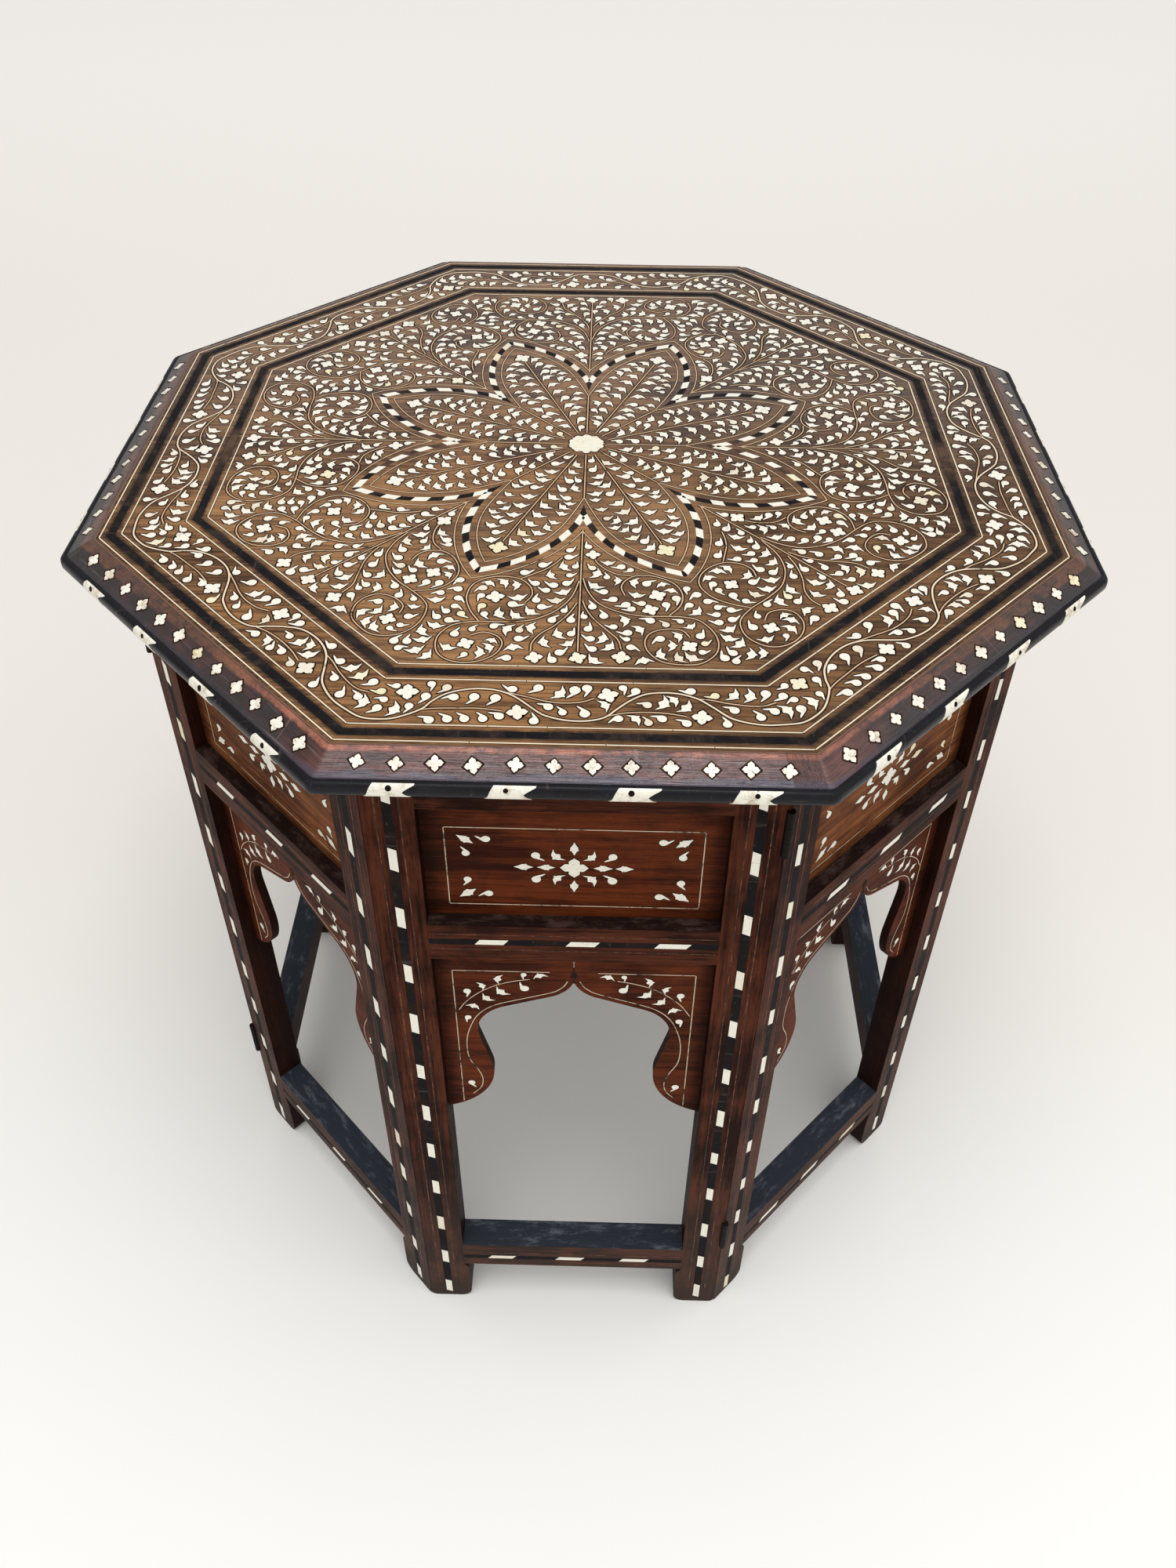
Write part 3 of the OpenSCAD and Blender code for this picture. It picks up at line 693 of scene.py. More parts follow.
def make_grime_group():
    """Dark grime that gathers in patches where a mask is strong and the noise is high; the frames also use it
    for painted shade on their inner faces.
    """
    takes = dict(Place="Vector", Color="Color", Grime="Color", Amount="Float", Mask="Float")
    n, given, gives = new_group("Grime", takes, dict(Color="Color"))
    reach = n.times_plus(given["Mask"], 0.5, n.noise(given["Place"], 55.0, 6.0, 0.7, 0.3))
    mask = n.times(n.step(reach, 0.62, 0.98), given["Amount"])
    n.fill(gives, dict(Color=n.blend(mask, given["Color"], given["Grime"])))


def make_scratch_group():
    """Fine scratches: two noises drawn out in slanting directions and cut off high."""
    n, given, gives = new_group("Scratches", dict(Place="Vector", Amount="Float"), dict(Mask="Float"))
    slants = [n.stretched(given["Place"], scale, turn=(0, turn, turn))
              for turn, scale in ((0.35, (0.05, 1.0, 0.4)), (-0.8, (1.0, 0.06, 0.4)))]
    lines = [n.step(n.noise(slant, 420.0, 3.0, 0.6), 0.62, 0.74) for slant in slants]
    n.fill(gives, dict(Mask=n.times(n.most(*lines), given["Amount"])))


def top_wood(n, look):
    """Worn oiled wood of the top: the grain runs left and right, darker knots lie near the seam, the right
    half and both ends in x are darker, the back carries a painted bluish-grey sheen, the front is polished,
    and dirt lies beside the bands."""
    place = n.place()
    wood = n.group("Wood", Place=place, Grain=n.stretched(place, (0.045, 1.0, 1.0)), Light=look.top_light,
                   Dark=look.top_dark, Pores=0.6, Patches=0.38)
    x, y, z = n.parts(place)
    by_seam = n.step(n.size(n.plus(y, 0.02)), 0.0, 0.03, 1.0, 0.0)
    knots = n.step(n.noise(n.stretched(place, (0.5, 1.0, 1.0), (0.31, 0.1, 0)), 11.0), 0.56, 0.72)
    dark = n.times(n.times_plus(by_seam, 0.85, 0.12), knots)
    colour = n.group("Grime", Place=place, Color=wood["Color"], Grime=linear(70, 40, 34), Amount=0.8,
                     Mask=dark)[0]
    slants = [n.times(n.size(way(x, y)), math.sqrt(0.5)) for way in (n.plus, n.less)]
    reach = n.most(n.most(n.size(x), n.size(y)), n.most(*slants))
    # The right half and both ends in x are made darker.
    edges = n.step(n.size(x), 0.19, 0.27, 0.0, 0.22)
    darker_right_and_ends = n.times_plus(n.step(x, -0.03, 0.10), 0.42, edges)
    colour = n.blend(darker_right_and_ends, colour, linear(62, 47, 36))
    # Painted sheen: the back is blended towards bluish grey, standing in for the reflection of the pale
    # surroundings at a glancing angle.
    colour = n.blend(n.step(y, -0.10, 0.12, 0.0, 0.20), colour, linear(110, 118, 124))
    polish = n.times(n.step(y, -0.03, -0.08), n.step(reach, 0.10, 0.16, 0.13, 0.08))
    for edge in (n.step(reach, 0.222, 0.226, 1.0, 0.0), n.step(x, 0.05, 0.10, 1.0, 0.0)):
        polish = n.times(polish, edge)
    colour = n.blend(polish, colour, linear(206, 166, 126))
    dirt = n.step(reach, 0.2765, 0.279, 0.0, 0.5)
    for apothem in BAND_APS:
        dirt = n.most(dirt, n.step(n.size(n.less(reach, apothem * MM)), 0.0024, 0.0048, 0.85, 0.0))
    dirt = n.times(dirt, n.step(n.noise(place, 70.0, 5.0, 0.7), 0.25, 0.55))
    colour = n.blend(dirt, colour, linear(44, 29, 21))
    face = n.step(z, TOP_Z * MM - 0.0004, TOP_Z * MM - 0.0001)
    rough = n.times_plus(wood["Wear"], 0.22, 0.36)
    n.surface(n.blend(face, linear(52, 34, 24), colour), rough, 0.12, wood["Height"], 0.00018)


def side_wood(n, look, side, light, dark, upright=False, ledge=True):
    """Satin red-brown wood of a frame: the grain runs up a post and along a rail or board. Painted shade
    darkens it under the top, on the faces that look sideways or down, where a board ends beside the posts and
    on the inner faces; grime lies at the feet, and it is dusty near the floor. Faces of posts and rails that
    look up carry the grime of ledges, rubbed pale in places."""
    place = n.place(side)
    shifted = n.stretched(place, (1, 1, 1), (side * 0.37, side * 0.11, side * 0.23))
    grain = n.stretched(shifted, (1.0, 1.0, 0.05) if upright else (0.05, 1.0, 1.0))
    pores, patches = (0.6, 0.5) if ledge else (0.35, 0.4)
    wood = n.group("Wood", Place=shifted, Grain=grain, Light=getattr(look, light), Dark=getattr(look, dark),
                   Pores=pores, Patches=patches)
    x, y, z = n.parts(place)
    # The mask below is real grime at the feet and painted shade on the inner faces, which look into the
    # table.
    inside = n.step(y, -(BASE_AP - 6) * MM, -(BASE_AP - 14) * MM)
    mask = n.most(n.step(z, 0.0, 0.07, 1.0, 0.0), inside)
    colour = n.group("Grime", Place=shifted, Color=wood["Color"], Grime=look.grime, Amount=0.75, Mask=mask)[0]
    facing = n.parts(n.place(side, "Normal"))
    # Painted shade on the faces that look sideways or down, and under the top.
    shade = n.most(n.step(n.size(facing[1]), 0.25, 0.60, 0.8, 0.0), n.step(z, 0.555, 0.592, 0.0, 0.3))
    # A board also gets a painted shadow of the posts where it ends beside them.
    if not ledge:
        shade = n.most(shade, n.step(n.size(x), 0.0705, 0.0800, 0.0, 0.6))
    colour = n.blend(n.step(z, 0.03, 0.25, 0.28, 0.0), colour, linear(84, 74, 68))
    colour = n.blend(shade, colour, linear(25, 12, 9))
    rough = n.times_plus(wood["Wear"], 0.25, 0.30)
    if ledge:
        up = n.step(facing[2], 0.55, 0.9)
        worn = n.noise(n.stretched(shifted, (0.35, 1, 1)), 130.0, 6.0, 0.75)
        low = n.blend(n.step(worn, 0.50, 0.72), look.ledge, look.ledge_worn)
        high = n.blend(n.step(worn, 0.45, 0.70), look.high_ledge, linear(86, 66, 60))
        colour = n.blend(up, colour, n.blend(n.step(z, 0.2, 0.3), low, high))
        rough = n.times_plus(up, 0.12, rough)
    n.surface(colour, rough, 0.02, wood["Height"], 0.00022)


def moulding_wood(n, look):
    """Dark purplish wood of the bevel, blue-black in patches and rubbed to orange along its upper edge. The
    bevels at the sides carry painted shade: blotches of black, and a darker rubbed edge. Its own map runs
    along the rim in x and up the bevel in y, from 0 at the nosing to 1 at the boards."""
    along, up = n.parts(n.add("UVMap", {}, uv_map="run")[0])[:2]
    place = n.add("CombineXYZ", {0: along, 1: n.times(up, 0.024)})[0]
    grain = n.stretched(place, (0.05, 1.0, 1.0))
    wood = n.group("Wood", Place=place, Grain=grain, Light=look.moulding_light, Dark=look.moulding_dark,
                   Pores=0.5, Patches=0.35)
    blot = n.noise(place, 26.0, 4.0, 0.6, 0.5)
    blue = n.step(n.plus(blot, n.step(up, 0.05, 0.42, 0.25, -0.12)), 0.50, 0.72)
    colour = n.blend(n.times(blue, 0.85), wood["Color"], look.moulding_blue)
    aside = n.size(n.parts(n.place())[0])
    # Painted shade: the bevels at the sides are blackened in blotches, as they catch less of the overhead
    # light than the front one.
    black = n.times(n.step(aside, 0.122, 0.150), n.step(blot, 0.30, 0.58, 0.35, 0.9))
    colour = n.blend(black, colour, look.moulding_side_shade)
    raised = n.plus(up, n.step(aside, 0.13, 0.26, 0.0, 0.24))
    lip = n.times(n.step(raised, 0.54, 0.82), n.step(up, 0.89, 0.95, 1.0, 0.0))
    thin = n.times_plus(n.noise(place, 22.0, 3.0, 0.6), 0.7, n.noise(place, 110.0, 5.0, 0.75))
    # The rubbed edge is painted darker on the side bevels, as shade.
    worn = n.blend(n.step(aside, 0.12, 0.20), look.moulding_worn, linear(106, 66, 42))
    colour = n.blend(n.step(n.plus(lip, thin), 1.62, 2.1), colour, worn)
    margin = n.blend(n.noise(grain, 300.0), linear(138, 94, 62), linear(66, 42, 30))
    colour = n.blend(n.step(up, 0.90, 0.95), colour, margin)
    colour = n.blend(n.group("Scratches", Place=place, Amount=0.5)[0], colour, linear(122, 104, 100))
    n.surface(colour, n.times_plus(blot, 0.22, 0.20), 0.72, wood["Height"], 0.0002)


def ebony(n, look, rough=0.5, gloss=0.02, tint=(58, 40, 30), worn=0.45, filled=False):
    """Near-black wood with brown rubbed streaks and fine grey scratches. Filled gives the inner band the
    brown filling that it has at both ends of the seam."""
    place = n.place()
    patch = n.step(n.noise(place, 45.0, 6.0, 0.72, 0.3), 0.44, 0.72)
    colour = n.blend(n.times(patch, worn), look.ebony, linear(*tint))
    if filled:
        x, y = n.parts(place)[:2]
        by_seam = n.step(n.size(n.plus(y, 0.012)), 0.012, 0.028, 1.0, 0.0)
        inner_end = n.step(n.size(x), 0.236, 0.240, 1.0, 0.0)
        left = n.step(n.noise(place, 95.0, 5.0, 0.7), 0.34, 0.58, 0.35, 0.9)
        colour = n.blend(n.times(n.times(by_seam, inner_end), left), colour, linear(92, 71, 57))
    scratch = n.times(n.group("Scratches", Place=place, Amount=0.6)[0], 0.5)
    colour = n.blend(scratch, colour, linear(92, 84, 78))
    n.surface(colour, n.times_plus(patch, 0.2, rough), gloss, n.noise(place, 900.0), 0.0001)


def bone(n, look, age):
    """Bone: cream that differs from sliver to sliver, with pores, stains and, where it is old, cracks."""
    place = n.place()
    each = n.add("Attribute", {}, attribute_name="tone")["Fac"]
    colour = n.blend(n.step(each, 0.93, 1.0), look.bone, look.bone_yellow)
    colour = n.blend(n.step(each, 0.08, 0.0, 0.0, 0.6), colour, look.bone_stained)
    pores = n.step(n.noise(place, 1100.0, 3.0, 0.6), 0.60, 0.74)
    stain = n.step(n.noise(place, 160.0, 5.0, 0.7), 0.62 - 0.2 * age, 0.84 - 0.2 * age)
    cracks = n.step(n.noise(n.stretched(place, (0.25, 0.25, 1.6)), 700.0, 4.0, 0.7), 0.62, 0.70)
    colour = n.blend(n.times(stain, age), colour, linear(176, 150, 118))
    colour = n.blend(n.times(pores, 0.35), colour, linear(140, 112, 84))
    colour = n.blend(n.times(cracks, age), colour, linear(84, 60, 44))
    height = n.less(0.0, n.most(pores, cracks))
    n.surface(colour, n.times_plus(stain, 0.2, 0.38), height=height, depth=0.0001)


def string(n, look, tint, worn_low):
    """A thin string of bone that is rubbed down, stained and here and there worn away to the paste."""
    place, tint = n.place(), getattr(look, tint)
    stained = n.blend(n.noise(place, 38.0, 5.0, 0.7), tint, n.blend(0.45, tint, look.mastic_pale))
    worn = n.step(n.noise(place, 75.0, 6.0, 0.75), worn_low, worn_low + 0.14)
    n.surface(n.blend(worn, stained, look.mastic), 0.5, 0.2)


def mastic(n, look):
    """The dark paste that beds the inlay."""
    gone = n.step(n.noise(n.place(), 120.0, 4.0, 0.7), 0.40, 0.66)
    n.surface(n.blend(gone, look.mastic, look.mastic_pale), 0.7, 0.04)


def old_iron(n, look):
    """Dull dark iron with brown rust."""
    rust = n.step(n.noise(n.place(), 260.0, 6.0, 0.7), 0.45, 0.7)
    n.surface(n.blend(rust, look.iron, look.rust), n.times_plus(rust, 0.25, 0.6), 0.08, rust, 0.0001,
              metal=n.less(0.15, n.times(rust, 0.12)))


def plain_wood(n, look):
    """Unpolished wood of the battens and pegs."""
    place = n.place()
    wood = n.group("Wood", Place=place, Grain=n.stretched(place, (1.0, 0.05, 1.0)), Light=look.plain_light,
                   Dark=look.plain_dark, Pores=0.5, Patches=0.4)
    n.surface(wood["Color"], 0.7, height=wood["Height"], depth=0.0003)


def pale_floor(n, look):
    """Pale ground that changes a little towards the back."""
    y = n.parts(n.place())[1]
    near = n.blend(n.step(y, -0.45, 0.35), look.floor, look.floor_far)
    n.surface(n.blend(n.step(y, 0.8, 3.2), near, look.floor_end), 0.9, 0.1)


# What makes each finish, and with which values
FINISHES = {
    "top wood": (top_wood, {}),
    "moulding wood": (moulding_wood, {}),
    "post wood": (side_wood, dict(light="post_light", dark="post_dark", upright=True)),
    "rail wood": (side_wood, dict(light="post_light", dark="post_dark")),
    "board wood": (side_wood, dict(light="board_light", dark="board_dark", ledge=False)),
    "pale board wood": (side_wood, dict(light="pale_light", dark="pale_dark", ledge=False)),
    "plain wood": (plain_wood, {}),
    "dark ebony": (ebony, {}),
    "rim ebony": (ebony, dict(rough=0.28, gloss=0.12, tint=(28, 33, 46))),
    "rubbed ebony": (ebony, dict(gloss=0.05, tint=(72, 60, 52), worn=0.55, filled=True)),
    "aged bone": (bone, dict(age=0.30)),
    "yellow bone": (bone, dict(age=0.45)),
    "cracked bone": (bone, dict(age=0.75)),
    "top string": (string, dict(tint="string", worn_low=0.60)),
    "stem": (string, dict(tint="stem", worn_low=0.56)),
    "post string": (string, dict(tint="thread", worn_low=0.40)),
    "board string": (string, dict(tint="board_string", worn_low=0.50)),
    "mastic": (mastic, {}),
    "old iron": (old_iron, {}),
    "floor": (pale_floor, {}),
}


def finish(kind, side=None):
    """A material by its kind, made once. The woods of the frames are made once for each side."""
    name, (paint, values) = kind, FINISHES[kind]
    if side is not None:
        name, values = f"{kind} {SIDES[side].replace('_', ' ')}", {**values, "side": side}
    material = bpy.data.materials.get(name)
    if material is None:
        material = bpy.data.materials.new(name)
        material.use_nodes = True
        material.node_tree.nodes.clear()
        paint(Nodes(material.node_tree), bpy.context.scene.table_colours, **values)
    return material


def dress(node, kind, side=None):
    """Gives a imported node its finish."""
    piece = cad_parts[node]
    piece.data.materials.clear()
    piece.data.materials.append(finish(kind, side))


# Sizes and colours that a user may change


def length(name, default, low, high, words):
    """A size in millimetres, kept in metres."""
    limits = dict(min=low * MM, max=high * MM)
    return bpy.props.FloatProperty(name=name, description=words, default=default * MM, unit="LENGTH",
                                   **limits)


def colour(name, rgb, words):
    """A colour that is written in 8-bit steps."""
    return bpy.props.FloatVectorProperty(name=name, description=words, default=linear(*rgb), subtype="COLOR",
                                         min=0, max=1)


def size(name):
    """One of the table's sizes in millimetres."""
    return getattr(bpy.context.scene.table_sizes, name) / MM


class TableSizes(bpy.types.PropertyGroup):
    """Sizes of the inlay."""

    string_width: length("String", 0.8, 0.4, 2, "Width of the bone strings of the top")
    stem_width: length("Stem", 0.66, 0.3, 2, "Width of the stems between the leaves")
    groove: length("Groove", 0.8, 0.1, 2, "Width of dark paste that shows beside a stem")
    halo: length("Halo", 0.7, 0, 1, "Width of dark paste that shows round a leaf")
    proud: length("Proud", 0.1, 0.04, 0.5, "How far bone stands above the wood")
    dash_length: length("Dash", 17, 8, 30, "Length of a bone dash in a post")
    dash_pitch: length("Dash pitch", 50, 30, 80, "Distance between the dashes of a post")


class TableColours(bpy.types.PropertyGroup):
    """Colours of the woods and the inlay."""

    top_light: colour("Top, light", (156, 112, 70), "Light streaks of the top")
    top_dark: colour("Top, dark", (68, 45, 31), "Dark streaks of the top")
    moulding_light: colour("Bevel, light", (104, 56, 46), "Light streaks of the bevel")
    moulding_dark: colour("Bevel, dark", (36, 17, 16), "Dark streaks of the bevel")
    moulding_blue: colour("Bevel, blue", (60, 54, 70), "Blue-black patches of the bevel")
    # Painted shade of the side bevels, laid in blotches.
    moulding_side_shade: colour("Bevel, black", (30, 22, 20), "Blackened polish of the bevels at the sides")
    moulding_worn: colour("Bevel, rubbed", (176, 104, 78), "Rubbed edge of the bevel")
    post_light: colour("Posts, light", (84, 42, 26), "Light streaks of the posts and rails")
    post_dark: colour("Posts, dark", (32, 14, 9), "Dark streaks of the posts and rails")
    board_light: colour("Boards, light", (100, 46, 22), "Light streaks of the boards")
    board_dark: colour("Boards, dark", (48, 19, 10), "Dark streaks of the boards")
    # Painted sheen: paler wood for the two field boards seen at a slant.
    pale_light: colour("Faded boards, light", (134, 80, 46), "Light streaks of the faded boards")
    pale_dark: colour("Faded boards, dark", (70, 38, 22), "Dark streaks of the faded boards")
    ledge: colour("Ledge", (50, 54, 61), "Grime on faces that look up")
    ledge_worn: colour("Ledge, rubbed", (98, 101, 107), "Rubbed grime on faces that look up")
    # Dark grime, which on the frames' inner faces is painted shade as well.
    grime: colour("Grime", (34, 22, 18), "Dark grime in corners")
    ebony: colour("Ebony", (23, 21, 23), "Wood of the bands, the nosing and the strips")
    bone: colour("Bone", (234, 229, 213), "Bone of the inlay")
    bone_yellow: colour("Bone, yellowed", (228, 217, 178), "Slivers of bone that have yellowed")
    bone_stained: colour("Bone, stained", (214, 196, 166), "Slivers of bone that have browned")
    thread: colour("Post strings", (124, 70, 43), "Thin strings of the posts and rails")
    string: colour("Top strings", (250, 230, 198), "Strings beside the bands and petals")
    board_string: colour("Board strings", (226, 198, 168), "Strings of the field and arch boards")
    stem: colour("Stems", (228, 196, 158), "Stems between the leaves")
    mastic: colour("Mastic", (34, 23, 17), "Dark paste round the inlay")
    mastic_pale: colour("Mastic, pale", (66, 42, 28), "Paste where it has worn thin")
    floor: colour("Floor", (248, 246, 241), "Floor near the table")
    floor_far: colour("Floor, far", (236, 230, 222), "Floor behind the table")
    floor_end: colour("Floor, farthest", (246, 241, 235), "Floor at the back of the studio")
    high_ledge: colour("High ledge", (40, 27, 23), "Grime on the ledges of the middle rails")
    iron: colour("Iron", (18, 15, 14), "Iron of the hinges, screws and nails")
    rust: colour("Rust", (34, 21, 15), "Rust of the iron")
    plain_light: colour("Plain wood, light", (142, 104, 72), "Light streaks of the battens and pegs")
    plain_dark: colour("Plain wood, dark", (92, 62, 42), "Dark streaks of the battens and pegs")


# Pieces of the top

# The bevel's direction, from the boards down to the nosing
BEVEL = np.array([NOSING_IN - BEVEL_IN, -BEVEL_DROP])
BEVEL_UNIT = BEVEL / np.linalg.norm(BEVEL)
# Points of a ring round the rim, at each corner and along each side
CORNER_POINTS = 7
SIDE_POINTS = 14
# The nosing: the radii of its corners at its inner side, how much they grow towards the rim, the points of
# its half round, the powers that flatten it outwards and upwards, and how deep it is dented
NOSING_CORNER = 5.6
NOSING_BACK_CORNER = 5.0
NOSING_GROWTH = 1.8
NOSING_POINTS = 13
NOSING_POWERS = (0.55, 0.8)
NOSING_DENT = 0.08

# Quatrefoils of one side of the bevel: their pitch, how far up from its middle they sit, their sizes, how far
# they stray and turn by chance, how proud they stand and how far their upper edge is drawn in
BEVEL_FLOWERS = 12
BEVEL_PITCH = 18.6
BEVEL_FLOWER_UP = 0.2
BEVEL_FLOWER_SIZES = (3.8, 4.7)
BEVEL_FLOWER_STRAY = 0.35
BEVEL_FLOWER_TURN = 0.12
BEVEL_FLOWER_HIGH = 0.10
BEVEL_FLOWER_INSET = 0.03
# By what share the dark diamond under one reaches past each of its corners, and how high it stands
BED_SHARE = np.array([[1.22], [1.30], [1.22], [1.30]])
BED_HIGH = 0.05

# Tabs of one side: their pitch, half their length, how far their ends slant, how deep and how steep the
# swallow tail is, and how far their faces and backs are pushed out of the nosing
TABS = 4
TAB_PITCH = 57.0
TAB_HALF = 12.5
TAB_SLANT = 5.0
TAB_TAIL = 5.0
TAIL_STEEP = 2.6
TAB_POINTS = 12
TAB_PUSHES = (0.32, -0.5)
# How far the tabs and their nails stray along the rim by chance, and the range of the tabs' tones
TAB_STRAY = 0.6
NAIL_STRAY = 0.8
TAB_TONES = (0.15, 0.75)
# Nails of the tabs: radii from foot to pole, how far each is pushed out of the nosing, the range of their
# sizes, their lean upwards, and the point of the nosing's section where they sit
NAIL_RADII = np.array([1.5, 1.5, 1.25, 0.7])
NAIL_PUSHES = np.array([-1.2, 0.33, 0.44, 0.48])
NAIL_SIZES = (0.8, 1.15)
NAIL_LEAN = math.radians(28)
NAIL_POINTS = 12
NAIL_SEAT = 8

# How wide a petal's strings are, as a share of the other strings
PETAL_STRING_SHARE = 0.8
# Dashes of one edge of a petal: the edge's steps, how far the first and last lie from its ends, half a dash's
# length, how far that strays by chance, and its half width and slant
EDGE_STEP = 0.5
PETAL_DASHES = 5
FIRST_DASH = 6.0
LAST_DASH = 7.5
PETAL_DASH_HALF = 4.6
PETAL_DASH_STRAY = 0.3
PETAL_DASH = (2.15, 2.6)

# The rosette: its lobes, the radius between them, how far they reach past it and how round they are, how its
# edge is drawn in, how much wider its paste is, how high both stand as shares of how proud bone is, and a
# seed whose first draw is a yellowed tone
ROSETTE_LOBES = 10
ROSETTE_RADIUS = 8.3
LOBE_REACH = 3.3
LOBE_POWER = 0.6
ROSETTE_POINTS = 160
ROSETTE_INSET = 0.015
ROSETTE_BED = 1.07
ROSETTE_HIGH = 1.4
ROSETTE_BED_HIGH = 0.6
ROSETTE_SEED = 41
# Where a petal's rib and the line between two petals begin and end, from the middle of the top
RIB_ENDS = (15.0, 119.0)
VALLEY_ENDS = (14.0, 63.0)
# The border's wave: its width is a share of a stem's and a little more. Its paste is a little wider than a
# stem's, and stands at a share of how proud bone is
WAVE_SHARE = 1.15
WAVE_MORE = 0.2
WAVE_PASTE_MORE = 0.3
WAVE_PASTE_SHARE = 0.45


def pieces_of_line(start, end, draw, gap=0.35, shortest=28.0, longest=74.0):
    """A straight line cut into lengths, as a string is laid from several slivers."""
    start, end = np.asarray(start, float), np.asarray(end, float)
    run = np.linalg.norm(end - start)
    cuts = [0.0]
    while cuts[-1] < run - longest:
        cuts.append(cuts[-1] + draw.uniform(shortest, longest))
    cuts.append(run)
    unit = (end - start) / run
    return [start + unit * np.array([[a + gap / 2], [b - gap / 2]]) for a, b in zip(cuts, cuts[1:])]


def pieces_of_ring(corners, draw, **lengths):
    """The sides of a ring of corners, each cut into lengths."""
    ends = zip(corners, np.roll(corners, -1, axis=0))
    return [path for start, end in ends for path in pieces_of_line(start, end, draw, **lengths)]


def rounded_ring(apothem, radius):
    """A ring round an octagon with rounded corners, each given an apothem and a corner radius: for every
    corner an arc of that radius, and even points between one arc and the next."""
    bend = np.linspace(-HALF_TURN, HALF_TURN, CORNER_POINTS) - math.pi / 2 + HALF_TURN
    middle = np.array([math.sin(HALF_TURN), -math.cos(HALF_TURN)]) / math.cos(HALF_TURN)
    arc = radius[:, None, None] * np.stack([np.cos(bend), np.sin(bend)], axis=-1)
    arc = arc + (apothem - radius)[:, None, None] * middle
    share = (np.arange(1, SIDE_POINTS + 1) / (SIDE_POINTS + 1))[None, :, None]
    straight = arc[:, -1:] * (1 - share) + turned(arc[:, :1], SIDE_TURN) * share
    part = np.concatenate([arc, straight], axis=1)
    return np.concatenate([turned(part, SIDE_TURN * i) for i in range(8)], axis=1)


def swept_rim(name, kind, section, radii, ups, dents, seed):
    """A closed section of (apothem, height) carried round the octagon: ring after ring of the section's
    points, each with its own corner radius. Dents move points in and down by smooth random steps. Its map
    runs along the rim in x and holds ups in y."""
    rings = rounded_ring(section[:, 0], radii)
    rough = np.random.default_rng(seed).normal(0, 1, rings.shape[1])
    for _ in range(3):
        rough = (np.roll(rough, 1) + rough + np.roll(rough, -1)) / 3
    depth = np.abs(rough) * np.asarray(dents)[:, None]
    unit = rings / np.linalg.norm(rings, axis=2, keepdims=True)
    points = lifted(rings - unit * depth[..., None], section[:, 1:] - 0.5 * depth).reshape(-1, 3) * MM
    uvs = np.stack(np.broadcast_arrays(run_of(rings[0]) * MM, np.asarray(ups)[:, None]), axis=-1)
    faces = grid_faces(*rings.shape[:2], True, True).tolist()
    return make_piece(name, kind, points, faces, uvs=uvs.reshape(-1, 2))


def bevel_section():
    """The moulding's section from the boards over its rubbed lip and down the bevel to the nosing, with each
    point's corner radius, its height on the bevel as a share, and how deep it is dented."""
    lip, foot = np.array([BEVEL_IN, TOP_Z]), np.array([NOSING_IN, NOSING_TOP])
    rows = (
        ((BOARDS_AP, UNDER_Z), 0.4, 1.0, 0), ((BOARDS_AP, TOP_Z - 1.0), 0.4, 1.0, 0),
        ((BOARDS_AP + 0.02, TOP_Z - 0.02), 0.5, 1.0, 0), ((BOARDS_AP + 0.6, TOP_Z), 0.8, 0.99, 0),
        (lip - (1.1, 0.0), 1.2, 0.93, 0.05), (lip - (0.35, 0.05), 1.6, 0.89, 0.2),
        (lip + BEVEL_UNIT * 0.5 - (0.0, 0.12), 2.0, 0.85, 0.3), (lip + BEVEL_UNIT * 1.6, 2.4, 0.80, 0.12),
        (lip + BEVEL_UNIT * 4.5, 3.2, 0.64, 0), (lip + BEVEL_UNIT * 8.0, 4.0, 0.46, 0),
        (lip + BEVEL_UNIT * 12.0, 4.8, 0.26, 0), (foot - BEVEL_UNIT * 1.2, 5.4, 0.08, 0.05),
        (foot - (0.25, 0.1), 5.6, 0.03, 0.05), (foot - (0.3, 0.8), 5.6, 0.0, 0),
        ((NOSING_IN - 0.3, UNDER_Z + 0.6), 5.6, 0.0, 0), ((NOSING_IN - 0.9, UNDER_Z), 5.4, 0.0, 0),
    )
    return [np.array(column, float) for column in zip(*rows[::-1])]


def nosing_section():
    """Half-round section from the bevel's foot, out to the rim and back under the moulding, with its corner
    radii."""
    angle = np.linspace(-math.pi / 2, math.pi / 2, NOSING_POINTS)
    half = (NOSING_TOP - UNDER_Z) / 2
    across, along = np.cos(angle), np.sin(angle)
    reach = TOP_AP - NOSING_IN - 0.2
    out = np.sign(across) * np.abs(across) ** NOSING_POWERS[0] * reach + NOSING_IN
    up = np.sign(along) * np.abs(along) ** NOSING_POWERS[1] * half + UNDER_Z + half
    back = [(NOSING_IN - 1.0, NOSING_TOP - 0.6), (NOSING_IN - 1.0, UNDER_Z + 0.1)]
    radii = np.concatenate([NOSING_CORNER + NOSING_GROWTH * across, [NOSING_BACK_CORNER] * len(back)])
    return np.vstack([np.stack([out, up], axis=1), back]), radii


class TABLE_OT_top_ground(bpy.types.Operator):
    """Woods of the top's boards, bands, battens and screws"""

    bl_idname = "table.top_ground"
    bl_label = "Boards and bands"

    def execute(self, context):
        dress("top_boards", "top wood")
        dress("ebony_bands", "rubbed ebony")
        dress("petal_band", "rubbed ebony")
        dress("centre_rosette", "aged bone")
        dress("cross_battens", "plain wood")
        dress("batten_screws", "old iron")
        return {"FINISHED"}


